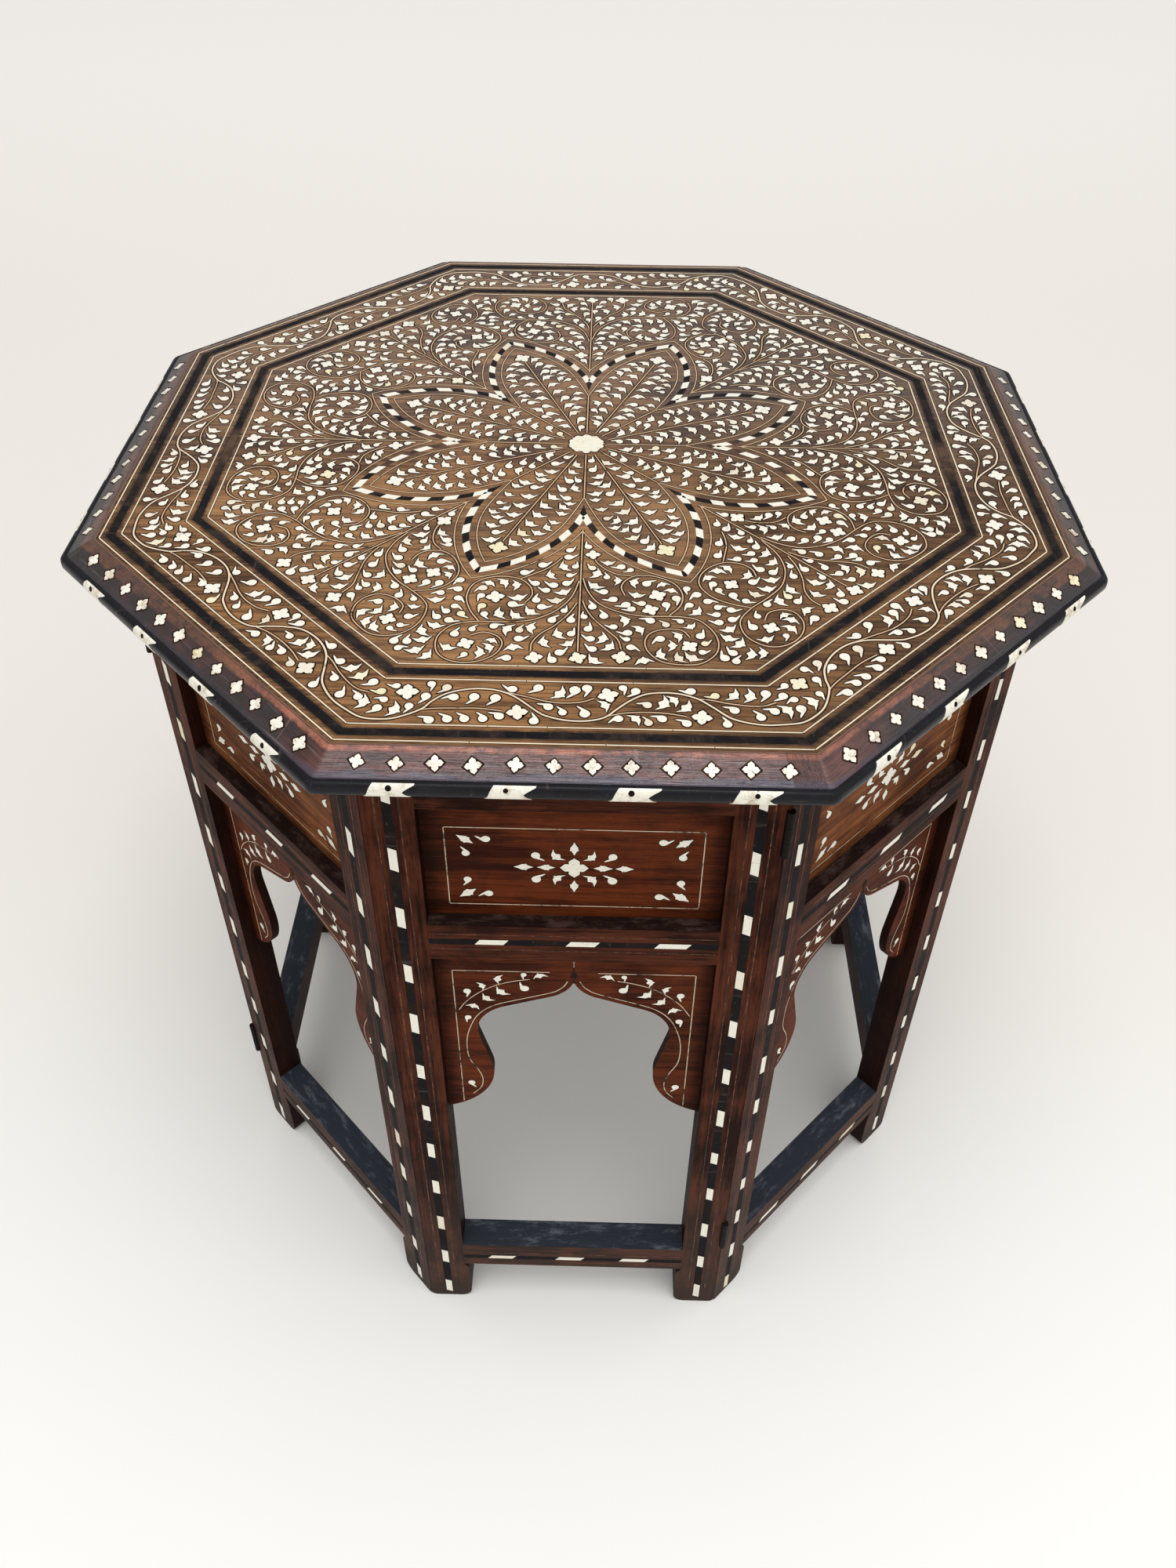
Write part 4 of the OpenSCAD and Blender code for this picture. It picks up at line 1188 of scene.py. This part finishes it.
class TABLE_OT_rim(bpy.types.Operator):
    """Bevelled moulding with softened corners, and the rounded ebony nosing"""

    bl_idname = "table.rim"
    bl_label = "Moulding and nosing"

    def execute(self, context):
        rim = swept_rim("rim_moulding", "moulding wood", *bevel_section(), 11)
        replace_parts(rim, "edge_mouldings")
        section, radii = nosing_section()
        ups, dents = np.zeros(len(section)), np.full(len(section), NOSING_DENT)
        nosing = swept_rim("rim_nosing", "rim ebony", section, radii, ups, dents, 12)
        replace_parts(nosing, "ebony_nosing")
        return {"FINISHED"}


def on_bevel(side):
    """The sloping face of the rim: s along, t up the slope from its middle and d out of it."""
    middle = (np.array([BEVEL_IN, TOP_Z]) + (NOSING_IN, NOSING_TOP)) / 2
    normal = np.array([-BEVEL_UNIT[1], BEVEL_UNIT[0]])

    def place(points):
        reach = middle - points[:, 1:2] * BEVEL_UNIT + points[:, 2:3] * normal
        return at_side(side, points[:, 0], reach[:, 0], reach[:, 1])

    return place


class TABLE_OT_rim_inlay(bpy.types.Operator):
    """Bone quatrefoils along the bevel, swallow-tailed tabs on the nosing and their nails"""

    bl_idname = "table.rim_inlay"
    bl_label = "Rim inlay"

    def execute(self, context):
        self.flowers()
        self.nails(self.tabs())
        return {"FINISHED"}

    @staticmethod
    def flowers():
        """A row of quatrefoils along each side, each over a dark diamond drawn from its four points."""
        draw = np.random.default_rng(21)
        flowers, beds = Inlay(0), Inlay(0, foot=PASTE_FOOT)
        for side in range(8):
            flowers.draw, beds.draw = np.random.default_rng(30 + side), np.random.default_rng(50 + side)
            flowers.place = beds.place = on_bevel(side)
            leaves = []
            for i in range(BEVEL_FLOWERS):
                centre = np.array([(i - (BEVEL_FLOWERS - 1) / 2) * BEVEL_PITCH, BEVEL_FLOWER_UP])
                centre = centre + draw.normal(0, BEVEL_FLOWER_STRAY, 2)
                angle = math.pi / 2 + draw.normal(0, BEVEL_FLOWER_TURN)
                point = turned((draw.uniform(*BEVEL_FLOWER_SIZES), 0.0), angle)
                leaves.append(("quatre", centre, centre + point, 1))
            flowers.leaves(leaves, BEVEL_FLOWER_HIGH, inset=BEVEL_FLOWER_INSET)
            quarters = math.pi / 2 * np.arange(4)
            beds.prisms([tail + np.array([turned(head - tail, q) for q in quarters]) * BED_SHARE
                         for _, tail, head, _ in leaves], BED_HIGH)
        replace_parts(flowers.build("bevel_quatrefoils", "cracked bone"), "bevel_lozenges")
        beds.build("bevel_beds", "mastic")

    @staticmethod
    def tabs():
        """Each tab is a grid over the nosing's section: across it the section's angle, along it from one end
        line to the other, pushed out by a third of a millimetre, with a back just under the nosing's face.
        Returns the tabs' places, each a side and a distance along it."""
        section = nosing_section()[0][1:NOSING_POINTS - 1]
        outward = section - (NOSING_IN - 1.0, (NOSING_TOP + UNDER_Z) / 2)
        outward = outward / np.linalg.norm(outward, axis=1, keepdims=True)
        up = np.linspace(0, 1, len(section))[:, None]
        left = TAB_SLANT * up - TAB_HALF
        tail = TAB_TAIL * np.clip(1 - np.abs(up - 0.5) * TAIL_STEEP, 0, 1)
        right = TAB_HALF - TAB_SLANT / 2 * (1 - up) - tail
        share = np.linspace(0, 1, TAB_POINTS)
        along = left * (1 - share) + right * share
        n, m = along.shape
        quads = grid_faces(n, m)
        edge = np.concatenate([np.arange(m - 1), np.arange(n - 1) * m + m - 1,
                               (n - 1) * m + np.arange(m - 1, 0, -1), np.arange(n - 1, 0, -1) * m])
        following = np.roll(edge, -1)
        walls = np.stack([edge, edge + n * m, following + n * m, following], axis=1)
        tabs, places = Inlay(22), []
        for side in range(8):
            for i in range(TABS):
                middle = (i - (TABS - 1) / 2) * TAB_PITCH + tabs.draw.normal(0, TAB_STRAY)
                places.append((side, middle))
                sheets = [section + outward * push for push in TAB_PUSHES]
                points = [at_side(side, along + middle, sheet[:, :1], sheet[:, 1:]) for sheet in sheets]
                tone = tabs.draw.uniform(*TAB_TONES)
                tabs.add(np.concatenate(points).reshape(-1, 3), [quads, quads[:, ::-1] + n * m, walls], tone)
        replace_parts(tabs.build("rim_tabs", "cracked bone"), "bone_tabs")
        return places

    @staticmethod
    def nails(places):
        """A low dome for each tab: rings of a quarter circle's radii, laid on the nosing's own face a little
        above its middle, from its foot in the wood to its pole."""
        nails = Inlay(23)
        turn = np.linspace(0, 2 * math.pi, NAIL_POINTS, endpoint=False)
        ring, pole = np.arange(NAIL_POINTS)[None], (len(NAIL_RADII) - 1) * NAIL_POINTS
        faces = [grid_faces(len(NAIL_RADII), NAIL_POINTS, close_columns=True), ring[:, ::-1], ring + pole]
        seat = nosing_section()[0][NAIL_SEAT]
        c, s = math.cos(NAIL_LEAN), math.sin(NAIL_LEAN)
        for side, middle in places:
            radii = NAIL_RADII * nails.draw.uniform(*NAIL_SIZES)
            along = middle + nails.draw.normal(0, NAIL_STRAY) + np.outer(radii, np.cos(turn))
            rise, push = np.outer(radii, np.sin(turn)), NAIL_PUSHES[:, None]
            out, up = seat[0] + push * c - rise * s, seat[1] + push * s + rise * c
            nails.add(at_side(side, along, out, up).reshape(-1, 3), faces, 0.0)
        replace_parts(nails.build("rim_nails", "old iron"), "tab_nails")


class TABLE_OT_top_strings(bpy.types.Operator):
    """Bone strings beside the bands and the petals, and the dashes of the petal band"""

    bl_idname = "table.top_strings"
    bl_label = "Strings and dashes"

    def execute(self, context):
        draw = np.random.default_rng(5)
        width, proud = size("string_width"), size("proud")
        bed_width = width + size("groove")
        strings, thin, beds, dashes = Inlay(1), Inlay(4), Inlay(2, foot=PASTE_FOOT), Inlay(3)
        for apothem in STRING_APS:
            corners = octagon(apothem)
            strings.ribbons(pieces_of_ring(corners, draw), width, proud)
            beds.ribbon(corners, bed_width, proud * PASTE_SHARE, closed=True)
        edges = around(mirrored([petal_arc(PETAL_STRING), inner_petal_string()]), HALF_TURN)
        thin.ribbons(edges, width * PETAL_STRING_SHARE, proud)
        beds.ribbons(edges, bed_width, proud * PASTE_SHARE)
        edge = even(petal_arc(0.0, 80), EDGE_STEP)
        heading = directions(edge)
        for turn in HALF_TURN + SIDE_TURN * np.arange(8):
            for mirror in (1, -1):
                for place in np.linspace(FIRST_DASH, EDGE_STEP * len(edge) - LAST_DASH, PETAL_DASHES):
                    i = int(place / EDGE_STEP)
                    dash = slanted(PETAL_DASH_HALF + draw.normal(0, PETAL_DASH_STRAY), *PETAL_DASH)
                    dash = turned(dash, math.atan2(heading[i, 1], heading[i, 0])) + edge[i]
                    dashes.prisms([turned(dash * (1, mirror), turn)[::mirror]], proud, inset=DASH_INSET)
        strings.build("top_strings", "top string")
        thin.build("petal_strings", "stem")
        beds.build("top_string_beds", "mastic")
        dashes.build("petal_dashes", "aged bone")
        return {"FINISHED"}


def slanted(half_length, half_width, slant):
    """A dash along s: four corners, its ends slanting one way."""
    return np.array([(sx * half_length + sy * slant / 2, sy * half_width)
                     for sx, sy in ((-1, -1), (1, -1), (1, 1), (-1, 1))])


def lay_vine(name, leaves, stems, seed):
    """Three pieces: the bone leaves, the string of the stems, and the dark paste that shows round both."""
    proud, width = size("proud"), size("stem_width")
    bones, strings, beds = Inlay(seed), Inlay(seed + 50), Inlay(seed + 100, foot=PASTE_FOOT)
    bones.leaves(leaves, proud, inset=LEAF_INSET)
    beds.leaves(leaves, proud * PASTE_SHARE, grow=size("halo"))
    strings.ribbons(stems, width, proud * STEM_SHARE)
    beds.ribbons(stems, width + 2 * size("groove"), proud * STEM_PASTE_SHARE)
    bones.build(f"{name}_leaves", "aged bone")
    strings.build(f"{name}_stems", "stem")
    beds.build(f"{name}_paste", "mastic")


class TABLE_OT_flower(bpy.types.Operator):
    """Leaves and stems inside the petals, and the scalloped rosette"""

    bl_idname = "table.flower"
    bl_label = "Flower"

    def execute(self, context):
        draw = np.random.default_rng(6)
        axis = -3 * HALF_TURN
        rib = turned(even(np.outer(RIB_ENDS, (1.0, 0.0)), 1.0), axis)
        valley = turned(even(np.outer(VALLEY_ENDS, (1.0, 0.0)), 4.0), -math.pi / 2)
        planting = Planting([rib], in_petal, axis - HALF_TURN, draw, PETAL_DOVES)
        planting.flowers([turned((PETAL_FLOWER, 0.0), axis)], PETAL_FLOWER_RADIUS)
        planting.beside(rib, LEAF_PITCH, RIB_LEAN, begin=7.0, sizes=RIB_SIZES)
        planting.beside(rib, LEAF_PITCH, SECOND_ROW_LEAN, near=SECOND_ROW, begin=2.0)
        planting.fill(*PETAL_FILL)
        lay_vine("flower", spread(planting.leaves, draw), around([rib]) + around([valley]), 7)
        proud = size("proud")
        angle = np.linspace(0, 2 * math.pi, ROSETTE_POINTS, endpoint=False)
        edge = ROSETTE_RADIUS + LOBE_REACH * np.abs(np.sin(angle * ROSETTE_LOBES / 2)) ** LOBE_POWER
        ring = np.stack([edge * np.cos(angle), edge * np.sin(angle)], axis=1)
        rosette, bed = Inlay(ROSETTE_SEED), Inlay(9, foot=PASTE_FOOT)
        rosette.prisms([ring], proud * ROSETTE_HIGH, inset=ROSETTE_INSET)
        bed.prisms([ring * ROSETTE_BED], proud * ROSETTE_BED_HIGH)
        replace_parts(rosette.build("rosette", "yellow bone"), "centre_rosette")
        bed.build("rosette_bed", "mastic")
        return {"FINISHED"}


class TABLE_OT_field(bpy.types.Operator):
    """Scrolls, stems and leaves between the flower and the inner band"""

    bl_idname = "table.field"
    bl_label = "Scroll field"

    def execute(self, context):
        draw = np.random.default_rng(9)
        stems = [smooth(points) for points in FIELD_STEMS]
        planting = Planting(stems, in_field, -math.pi / 2 - HALF_TURN, draw, FIELD_DOVES)
        planting.flowers(FIELD_FLOWERS, FIELD_FLOWER_RADIUS)
        for stem in stems:
            planting.beside(stem, LEAF_PITCH, FIELD_LEAN)
        planting.fill(*FIELD_FILL)
        lay_vine("field", spread(planting.leaves, draw), around(stems), 13)
        return {"FINISHED"}


class TABLE_OT_border(bpy.types.Operator):
    """Wave of the border between the two bands, with its side stems and leaves"""

    bl_idname = "table.border"
    bl_label = "Border vine"

    def execute(self, context):
        draw = np.random.default_rng(10)
        stems = [smooth(points) for points in BORDER_STEMS]
        wave_part = smooth(np.vstack([BORDER_VINE, turned(BORDER_VINE[:1], SIDE_TURN)]))
        planting = Planting([*stems, wave_part], in_border, -math.pi / 2 - HALF_TURN, draw, BORDER_DOVES)
        planting.flowers(BORDER_FLOWERS, BORDER_FLOWER_RADIUS)
        for stem in stems:
            planting.beside(stem, BORDER_PITCH, BORDER_LEAN, near=1.5, sizes=BORDER_SIZES)
        planting.beside(wave_part, BORDER_PITCH, WAVE_LEAN, sizes=BORDER_SIZES)
        planting.fill(*BORDER_FILL)
        lay_vine("border", spread(planting.leaves, draw), around(stems), 17)
        vine = closed_curve(np.concatenate(around([np.array(BORDER_VINE)])))
        wave, bed = Inlay(18), Inlay(19, foot=PASTE_FOOT)
        width, proud = size("stem_width"), size("proud")
        wave.ribbon(vine, WAVE_SHARE * width + WAVE_MORE, proud, closed=True)
        bed_width = width + 2 * size("groove") + WAVE_PASTE_MORE
        bed.ribbon(vine, bed_width, proud * WAVE_PASTE_SHARE, closed=True)
        wave.build("border_wave", "top string")
        bed.build("border_wave_paste", "mastic")
        return {"FINISHED"}


# Pieces of the frames, in millimetres along a frame and up from the floor

# The frames whose field boards are painted paler, as a painted sheen where they are seen at a slant, and the
# wood of each part of a frame
PALE_BOARDS = ("front_left", "front_right")
FRAME_WOODS = {
    "posts": "post wood", "rails": "rail wood", "field_board": "board wood", "arch_boards": "board wood",
}

# Dashes of a post and of both rails; of each dash, half its width and the slant of its ends
POST_DASHES = 12
POST_DASH_Z = 16.5
POST_DASH = (2.35, 2.2)
RAIL_DASHES = ((RAIL_LINE_Z, (-48.0, 5.0, 56.0)), (STRETCHER_LINE_Z, (-52.0, -2.0, 47.0)))
RAIL_DASH = (2.1, 3.0)
RAIL_DASH_HALF = 9.0
# How far dashes stray by chance: a post's whole row along it, each of its dashes along it, across it and in
# half its length, and a rail's dashes along it and in half their length
POST_ROW_STRAY = 1.0
POST_DASH_STRAY = (1.2, 0.12, 0.8)
RAIL_DASH_STRAY = (1.5, 0.6)
# The threads beside the dashes: how far from their middle line, how wide, where they end, and their pieces
POST_THREAD = 6.4
RAIL_THREAD = 6.6
THREAD_WIDTH = 0.6
POST_THREAD_ENDS = (22, 594)
RAIL_THREAD_END = 81
POST_THREAD_PIECES = dict(gap=1.2, shortest=50, longest=150)
RAIL_THREAD_PIECES = dict(gap=1.0, shortest=40, longest=110)

# Width of the boards' strings and of the paste under them, and how far paste shows round their leaves
BOARD_STRING_WIDTH = 0.6
BOARD_PASTE_WIDTH = 1.3
BOARD_HALO = 0.4
# How far the boards' leaves differ in size by chance, as a share
BOARD_LEAF_CHANGE = 0.04
# The string that frames a field board and its pieces, the middle of its flower, and its corner sprays' middle
# and reach
FIELD_BOX = np.array([(-69.5, 468.5), (69.5, 468.5), (69.5, 531.0), (-69.5, 531.0)])
FIELD_BOX_PIECES = dict(gap=0.5, shortest=30, longest=80)
FLOWER_MIDDLE = np.array([0.0, 500.5])
FLOWER_RADIUS = 8.3
FLOWER_TIP = [("diamond", (0.0, 10.0), (0.0, 21.0), 1)]
SPRAYS_MIDDLE = np.array([0.0, 500.0])
SPRAY_REACH = np.array([63.5, 25.5])
FLOWER_LEAVES = [
    ("diamond", (10.2, 0.0), (21.0, 0.0), 1), ("diamond", (22.0, 0.0), (33.5, 0.0), 1),
    ("dove", (5.4, 5.6), (12.0, 13.6), 1), ("dove", (5.4, -5.6), (11.8, -14.4), -1),
    ("drop", (17.4, 3.6), (22.4, 12.0), 1), ("drop", (17.4, -3.6), (22.2, -12.4), -1),
]
SPRAY_LEAVES = [
    ("diamond", (-9.5, -7.0), (0.0, 0.0), 1), ("drop", (-9.5, -3.0), (-18.8, -3.4), -1),
    ("drop", (-4.2, -8.6), (-5.4, -17.4), 1),
]
ARCH_LEAVES = [
    ("dove", (24.5, 401.0), (15.5, 404.0), 1), ("drop", (31.5, 399.5), (29.0, 406.0), 1),
    ("dove", (45.5, 394.5), (43.0, 403.5), 1), ("dove", (54.0, 388.0), (57.5, 396.0), -1),
    ("drop", (62.5, 380.5), (64.5, 389.0), -1), ("drop", (34.5, 396.0), (27.5, 388.5), -1),
    ("dove", (47.0, 391.5), (38.5, 383.5), -1), ("dove", (55.5, 384.5), (48.0, 377.0), -1),
    ("dove", (65.5, 373.0), (57.0, 369.0), 1), ("drop", (67.5, 355.0), (63.5, 362.5), 1),
    ("drop", (65.0, 281.5), (66.5, 291.0), 1),
]

# Strings of the right arch board: beside the post, under the rail, along the opening and the spray's stem,
# the pieces of the straight ones and the step of the curved ones
ARCH_POST_STRING = ((72.0, 266.0), (72.0, 407.0))
ARCH_RAIL_STRING = ((14.0, 407.0), (72.0, 407.0))
ARCH_POST_PIECES = dict(gap=0.6, shortest=40, longest=90)
ARCH_RAIL_PIECES = dict(gap=0.6)
ARCH_STEP = 2.0
ARCH_EDGE = [
    (3.7, 398.5), (5.9, 393.7), (9.3, 389.9), (13.6, 387.0), (29.3, 380.9), (43.6, 375.4), (50.4, 371.6),
    (55.9, 366.5), (60.1, 360.1), (63.2, 352.0), (66.0, 341.0), (67.0, 328.0), (65.8, 315.0), (61.0, 303.0),
    (58.5, 293.0), (60.0, 283.0), (65.5, 275.0),
]
ARCH_STEM = [(70.5, 366.5), (65.0, 376.5), (56.5, 386.0), (46.0, 393.5), (35.0, 397.8), (26.0, 399.8)]

# Outline of the dark filling where the two arch boards meet, its foot, its height, and how far its points
# stray by chance
CHIPPED_FOOT = -2.0
CHIPPED_HIGH = 0.06
CHIPPED_STRAY = 0.25
CHIPPED_JOINT = np.array([
    (0.5, 397.0), (0.9, 400.5), (2.6, 403.5), (1.5, 406.5), (0.6, 409.0), (-0.6, 409.0), (-1.9, 406.0),
    (-2.3, 403.0), (-1.0, 400.0), (-0.5, 397.0),
])


def flipped(leaves, x, y, middle):
    """Leaves laid about a middle, mirrored where x or y is minus one."""
    return [(kind, middle + np.array(tail) * (x, y), middle + np.array(head) * (x, y), hand * x * y)
            for kind, tail, head, hand in leaves]


class TABLE_OT_frames(bpy.types.Operator):
    """Woods of the eight frames with their bone dashes, strings and sprays"""

    bl_idname = "table.frames"
    bl_label = "Frames"

    def execute(self, context):
        for side, name in enumerate(SIDES):
            for part, kind in FRAME_WOODS.items():
                # The slanting field boards take the paler wood as a painted sheen.
                sheened = part == "field_board" and name in PALE_BOARDS
                dress(f"{name}_{part}", f"pale {kind}" if sheened else kind, side)
            dress(f"{name}_ebony_lines", "dark ebony")
            dress(f"{name}_hinges", "old iron")
            self.posts_and_rails(side, name, size("proud"))
            self.boards(side, name, size("proud"))
        dress("locating_pegs", "plain wood")
        return {"FINISHED"}

    @staticmethod
    def posts_and_rails(side, name, proud):
        """Bone dashes along the dark strips, and a thin stained string on each side of every strip."""
        draw = np.random.default_rng(100 + side)
        place = on_frame(side, BASE_AP)
        dashes, threads = Inlay(200 + side, place), Inlay(300 + side, place, PASTE_FOOT)
        half, pitch = size("dash_length") / 2, size("dash_pitch")
        along, across, longer = POST_DASH_STRAY
        for post in (-POST_LINE, POST_LINE):
            offset = draw.normal(0, POST_ROW_STRAY)
            for i in range(POST_DASHES):
                z = POST_DASH_Z + pitch * i + offset + draw.normal(0, along)
                middle = (post + draw.normal(0, across), z)
                dash = slanted(half + draw.normal(0, longer), *POST_DASH)[:, ::-1] * (-1, 1)
                dashes.prisms([dash + middle], proud, inset=DASH_INSET)
            for x in (post - POST_THREAD, post + POST_THREAD):
                low, high = ((x, end) for end in POST_THREAD_ENDS)
                paths = pieces_of_line(low, high, draw, **POST_THREAD_PIECES)
                threads.ribbons(paths, THREAD_WIDTH, proud * PASTE_SHARE)
        along, longer = RAIL_DASH_STRAY
        for line, places in RAIL_DASHES:
            for x in places:
                middle = (x + draw.normal(0, along), line)
                dash = slanted(RAIL_DASH_HALF + draw.normal(0, longer), *RAIL_DASH)
                dashes.prisms([dash + middle], proud, inset=DASH_INSET)
            for z in (line - RAIL_THREAD, line + RAIL_THREAD):
                ends = (-RAIL_THREAD_END, z), (RAIL_THREAD_END, z)
                paths = pieces_of_line(*ends, draw, **RAIL_THREAD_PIECES)
                threads.ribbons(paths, THREAD_WIDTH, proud * PASTE_SHARE)
        dashes.build(f"{name}_dashes", "aged bone", f"{name}_frame")
        threads.build(f"{name}_threads", "post string", f"{name}_frame")

    @staticmethod
    def boards(side, name, proud):
        """The framed flower of the field board, and the strings and sprays of the two arch boards."""
        draw = np.random.default_rng(400 + side)
        place = on_frame(side, BOARD_FACE)
        inlay, strings = Inlay(500 + side, place), Inlay(700 + side, place)
        beds = Inlay(600 + side, place, PASTE_FOOT)
        paths = pieces_of_ring(FIELD_BOX, draw, **FIELD_BOX_PIECES)
        leaves = [("quatre", FLOWER_MIDDLE, FLOWER_MIDDLE + (0.0, FLOWER_RADIUS), 1)]
        for x in (1, -1):
            leaves += flipped(FLOWER_LEAVES, x, 1, FLOWER_MIDDLE)
            for y in (1, -1):
                leaves += flipped(SPRAY_LEAVES, x, y, SPRAYS_MIDDLE + SPRAY_REACH * (x, y))
        for y in (1, -1):
            leaves += flipped(FLOWER_TIP, 1, y, FLOWER_MIDDLE)
        for x in (1, -1):
            upright = pieces_of_line(*ARCH_POST_STRING, draw, **ARCH_POST_PIECES)
            level = pieces_of_line(*ARCH_RAIL_STRING, draw, **ARCH_RAIL_PIECES)
            curves = smooth(ARCH_EDGE, ARCH_STEP), smooth(ARCH_STEM, ARCH_STEP)
            paths += [path * (x, 1) for path in (*upright, *level, *curves)]
            leaves += flipped(ARCH_LEAVES, x, 1, 0.0)
        leaves = [(kind, tail, tail + (head - tail) * draw.normal(1, BOARD_LEAF_CHANGE), hand)
                  for kind, tail, head, hand in leaves]
        inlay.leaves(leaves, proud, inset=LEAF_INSET)
        beds.leaves(leaves, proud * PASTE_SHARE, grow=BOARD_HALO)
        strings.ribbons(paths, BOARD_STRING_WIDTH, proud)
        beds.ribbons(paths, BOARD_PASTE_WIDTH, proud * STEM_PASTE_SHARE)
        chipped = CHIPPED_JOINT + draw.normal(0, CHIPPED_STRAY, CHIPPED_JOINT.shape)
        beds.prisms([chipped], CHIPPED_HIGH, foot=CHIPPED_FOOT)
        inlay.build(f"{name}_board_inlay", "aged bone", f"{name}_frame")
        strings.build(f"{name}_board_strings", "board string", f"{name}_frame")
        beds.build(f"{name}_board_paste", "mastic", f"{name}_frame")


# The stage

# The photograph's camera, solved from the octagons of the top and the corners of the base
LENS_PIXELS = 1650.11
MIDDLE_PIXEL = (747.07, 846.83)
PHOTO_SIZE = (1500, 2000)
CAMERA_PITCH = math.radians(40.2265)
CAMERA_ROLL = math.radians(0.6197)
CAMERA_YAW = math.radians(0.8847)
CAMERA_PLACE = (0.01217, -0.72185, TOP_Z * MM + 0.4265)
FLOOR_REACH = 14.0
SKY_COLOUR = (0.97, 0.985, 1.0)
SKY_STRENGTH = 0.50
# Each light's name, kind, place, the place that it looks at, and its settings
LIGHTS = (
    ("sky", "SUN", (0.5, -0.9, 1.9), (0, 0, 0), dict(energy=1.5, angle=math.radians(110))),
    ("overhead", "AREA", (0.0, -0.75, 3.0), (0, -0.75, 0),
     dict(energy=24.0, size=1.15, color=(0.95, 0.97, 1.0))),
)


class TABLE_OT_stage(bpy.types.Operator):
    """Pale floor, soft light and the camera"""

    bl_idname = "table.stage"
    bl_label = "Stage"

    def execute(self, context):
        self.floor(context.scene)
        self.lights(context.scene)
        self.camera(context.scene)
        return {"FINISHED"}

    @staticmethod
    def floor(scene):
        """One large square at the table's feet."""
        mesh = bpy.data.meshes.new("floor")
        corners = [(x * FLOOR_REACH, y * FLOOR_REACH, 0) for x, y in ((-1, -1), (1, -1), (1, 1), (-1, 1))]
        mesh.from_pydata(corners, [], [(0, 1, 2, 3)])
        mesh.materials.append(finish("floor"))
        floor = bpy.data.objects.new("floor", mesh)
        scene.collection.objects.link(floor)

    @staticmethod
    def lights(scene):
        """An even sky, and LIGHTS, each of them turned to the place that it looks at."""
        scene.world = bpy.data.worlds.new("studio")
        scene.world.use_nodes = True
        inputs = scene.world.node_tree.nodes["Background"].inputs
        inputs["Color"].default_value = opaque(SKY_COLOUR)
        inputs["Strength"].default_value = SKY_STRENGTH
        for name, kind, place, target, settings in LIGHTS:
            light = bpy.data.lights.new(name, kind)
            for setting, value in settings.items():
                setattr(light, setting, value)
            lamp = bpy.data.objects.new(name, light)
            lamp.location = place
            x, y, z = np.array(place) - target
            lamp.rotation_euler = (math.atan2(math.hypot(x, y), z), 0, math.atan2(y, x) + math.pi / 2)
            scene.collection.objects.link(lamp)

    @staticmethod
    def camera(scene):
        """The photograph's own camera: pitched down from level, turned left by the yaw and rolled, with a
        shift that puts the lens's middle where it was in the photograph."""
        camera = bpy.data.cameras.new("camera")
        camera.lens = LENS_PIXELS / max(PHOTO_SIZE) * camera.sensor_width
        camera.shift_x = (PHOTO_SIZE[0] / 2 - MIDDLE_PIXEL[0]) / max(PHOTO_SIZE)
        camera.shift_y = (MIDDLE_PIXEL[1] - PHOTO_SIZE[1] / 2) / max(PHOTO_SIZE)
        camera.clip_end = 60.0
        eye = bpy.data.objects.new("camera", camera)
        turn = (Matrix.Rotation(CAMERA_YAW, 4, "Z") @ Matrix.Rotation(math.pi / 2 - CAMERA_PITCH, 4, "X")
                @ Matrix.Rotation(CAMERA_ROLL, 4, "Z"))
        eye.matrix_world = Matrix.Translation(CAMERA_PLACE) @ turn
        scene.collection.objects.link(eye)
        scene.camera = eye


class TABLE_PT_panel(bpy.types.Panel):
    """Builds the table's pieces and shows their sizes and colours"""

    bl_idname = "TABLE_PT_panel"
    bl_label = "Octagonal side table"
    bl_space_type = "VIEW_3D"
    bl_region_type = "UI"
    bl_category = "Table"

    def draw(self, context):
        for step in STEPS:
            self.layout.operator(step.bl_idname)
        for group in (context.scene.table_sizes, context.scene.table_colours):
            for name in group.__annotations__:
                self.layout.prop(group, name)


STEPS = (TABLE_OT_top_ground, TABLE_OT_rim, TABLE_OT_rim_inlay, TABLE_OT_top_strings, TABLE_OT_flower,
         TABLE_OT_field, TABLE_OT_border, TABLE_OT_frames, TABLE_OT_stage)
CLASSES = (TableSizes, TableColours, *STEPS, TABLE_PT_panel)


def register():
    for cls in CLASSES:
        bpy.utils.register_class(cls)
    bpy.types.Scene.table_sizes = bpy.props.PointerProperty(type=TableSizes)
    bpy.types.Scene.table_colours = bpy.props.PointerProperty(type=TableColours)


def unregister():
    del bpy.types.Scene.table_colours
    del bpy.types.Scene.table_sizes
    for cls in reversed(CLASSES):
        bpy.utils.unregister_class(cls)


def main():
    """Builds every piece and the stage."""
    register()
    make_wood_group()
    make_grime_group()
    make_scratch_group()
    bpy.ops.table.top_ground()
    bpy.ops.table.rim()
    bpy.ops.table.rim_inlay()
    bpy.ops.table.top_strings()
    bpy.ops.table.flower()
    bpy.ops.table.field()
    bpy.ops.table.border()
    bpy.ops.table.frames()
    bpy.ops.table.stage()
    bpy.context.scene.view_settings.view_transform = "Standard"


if __name__ == "__main__":
    main()
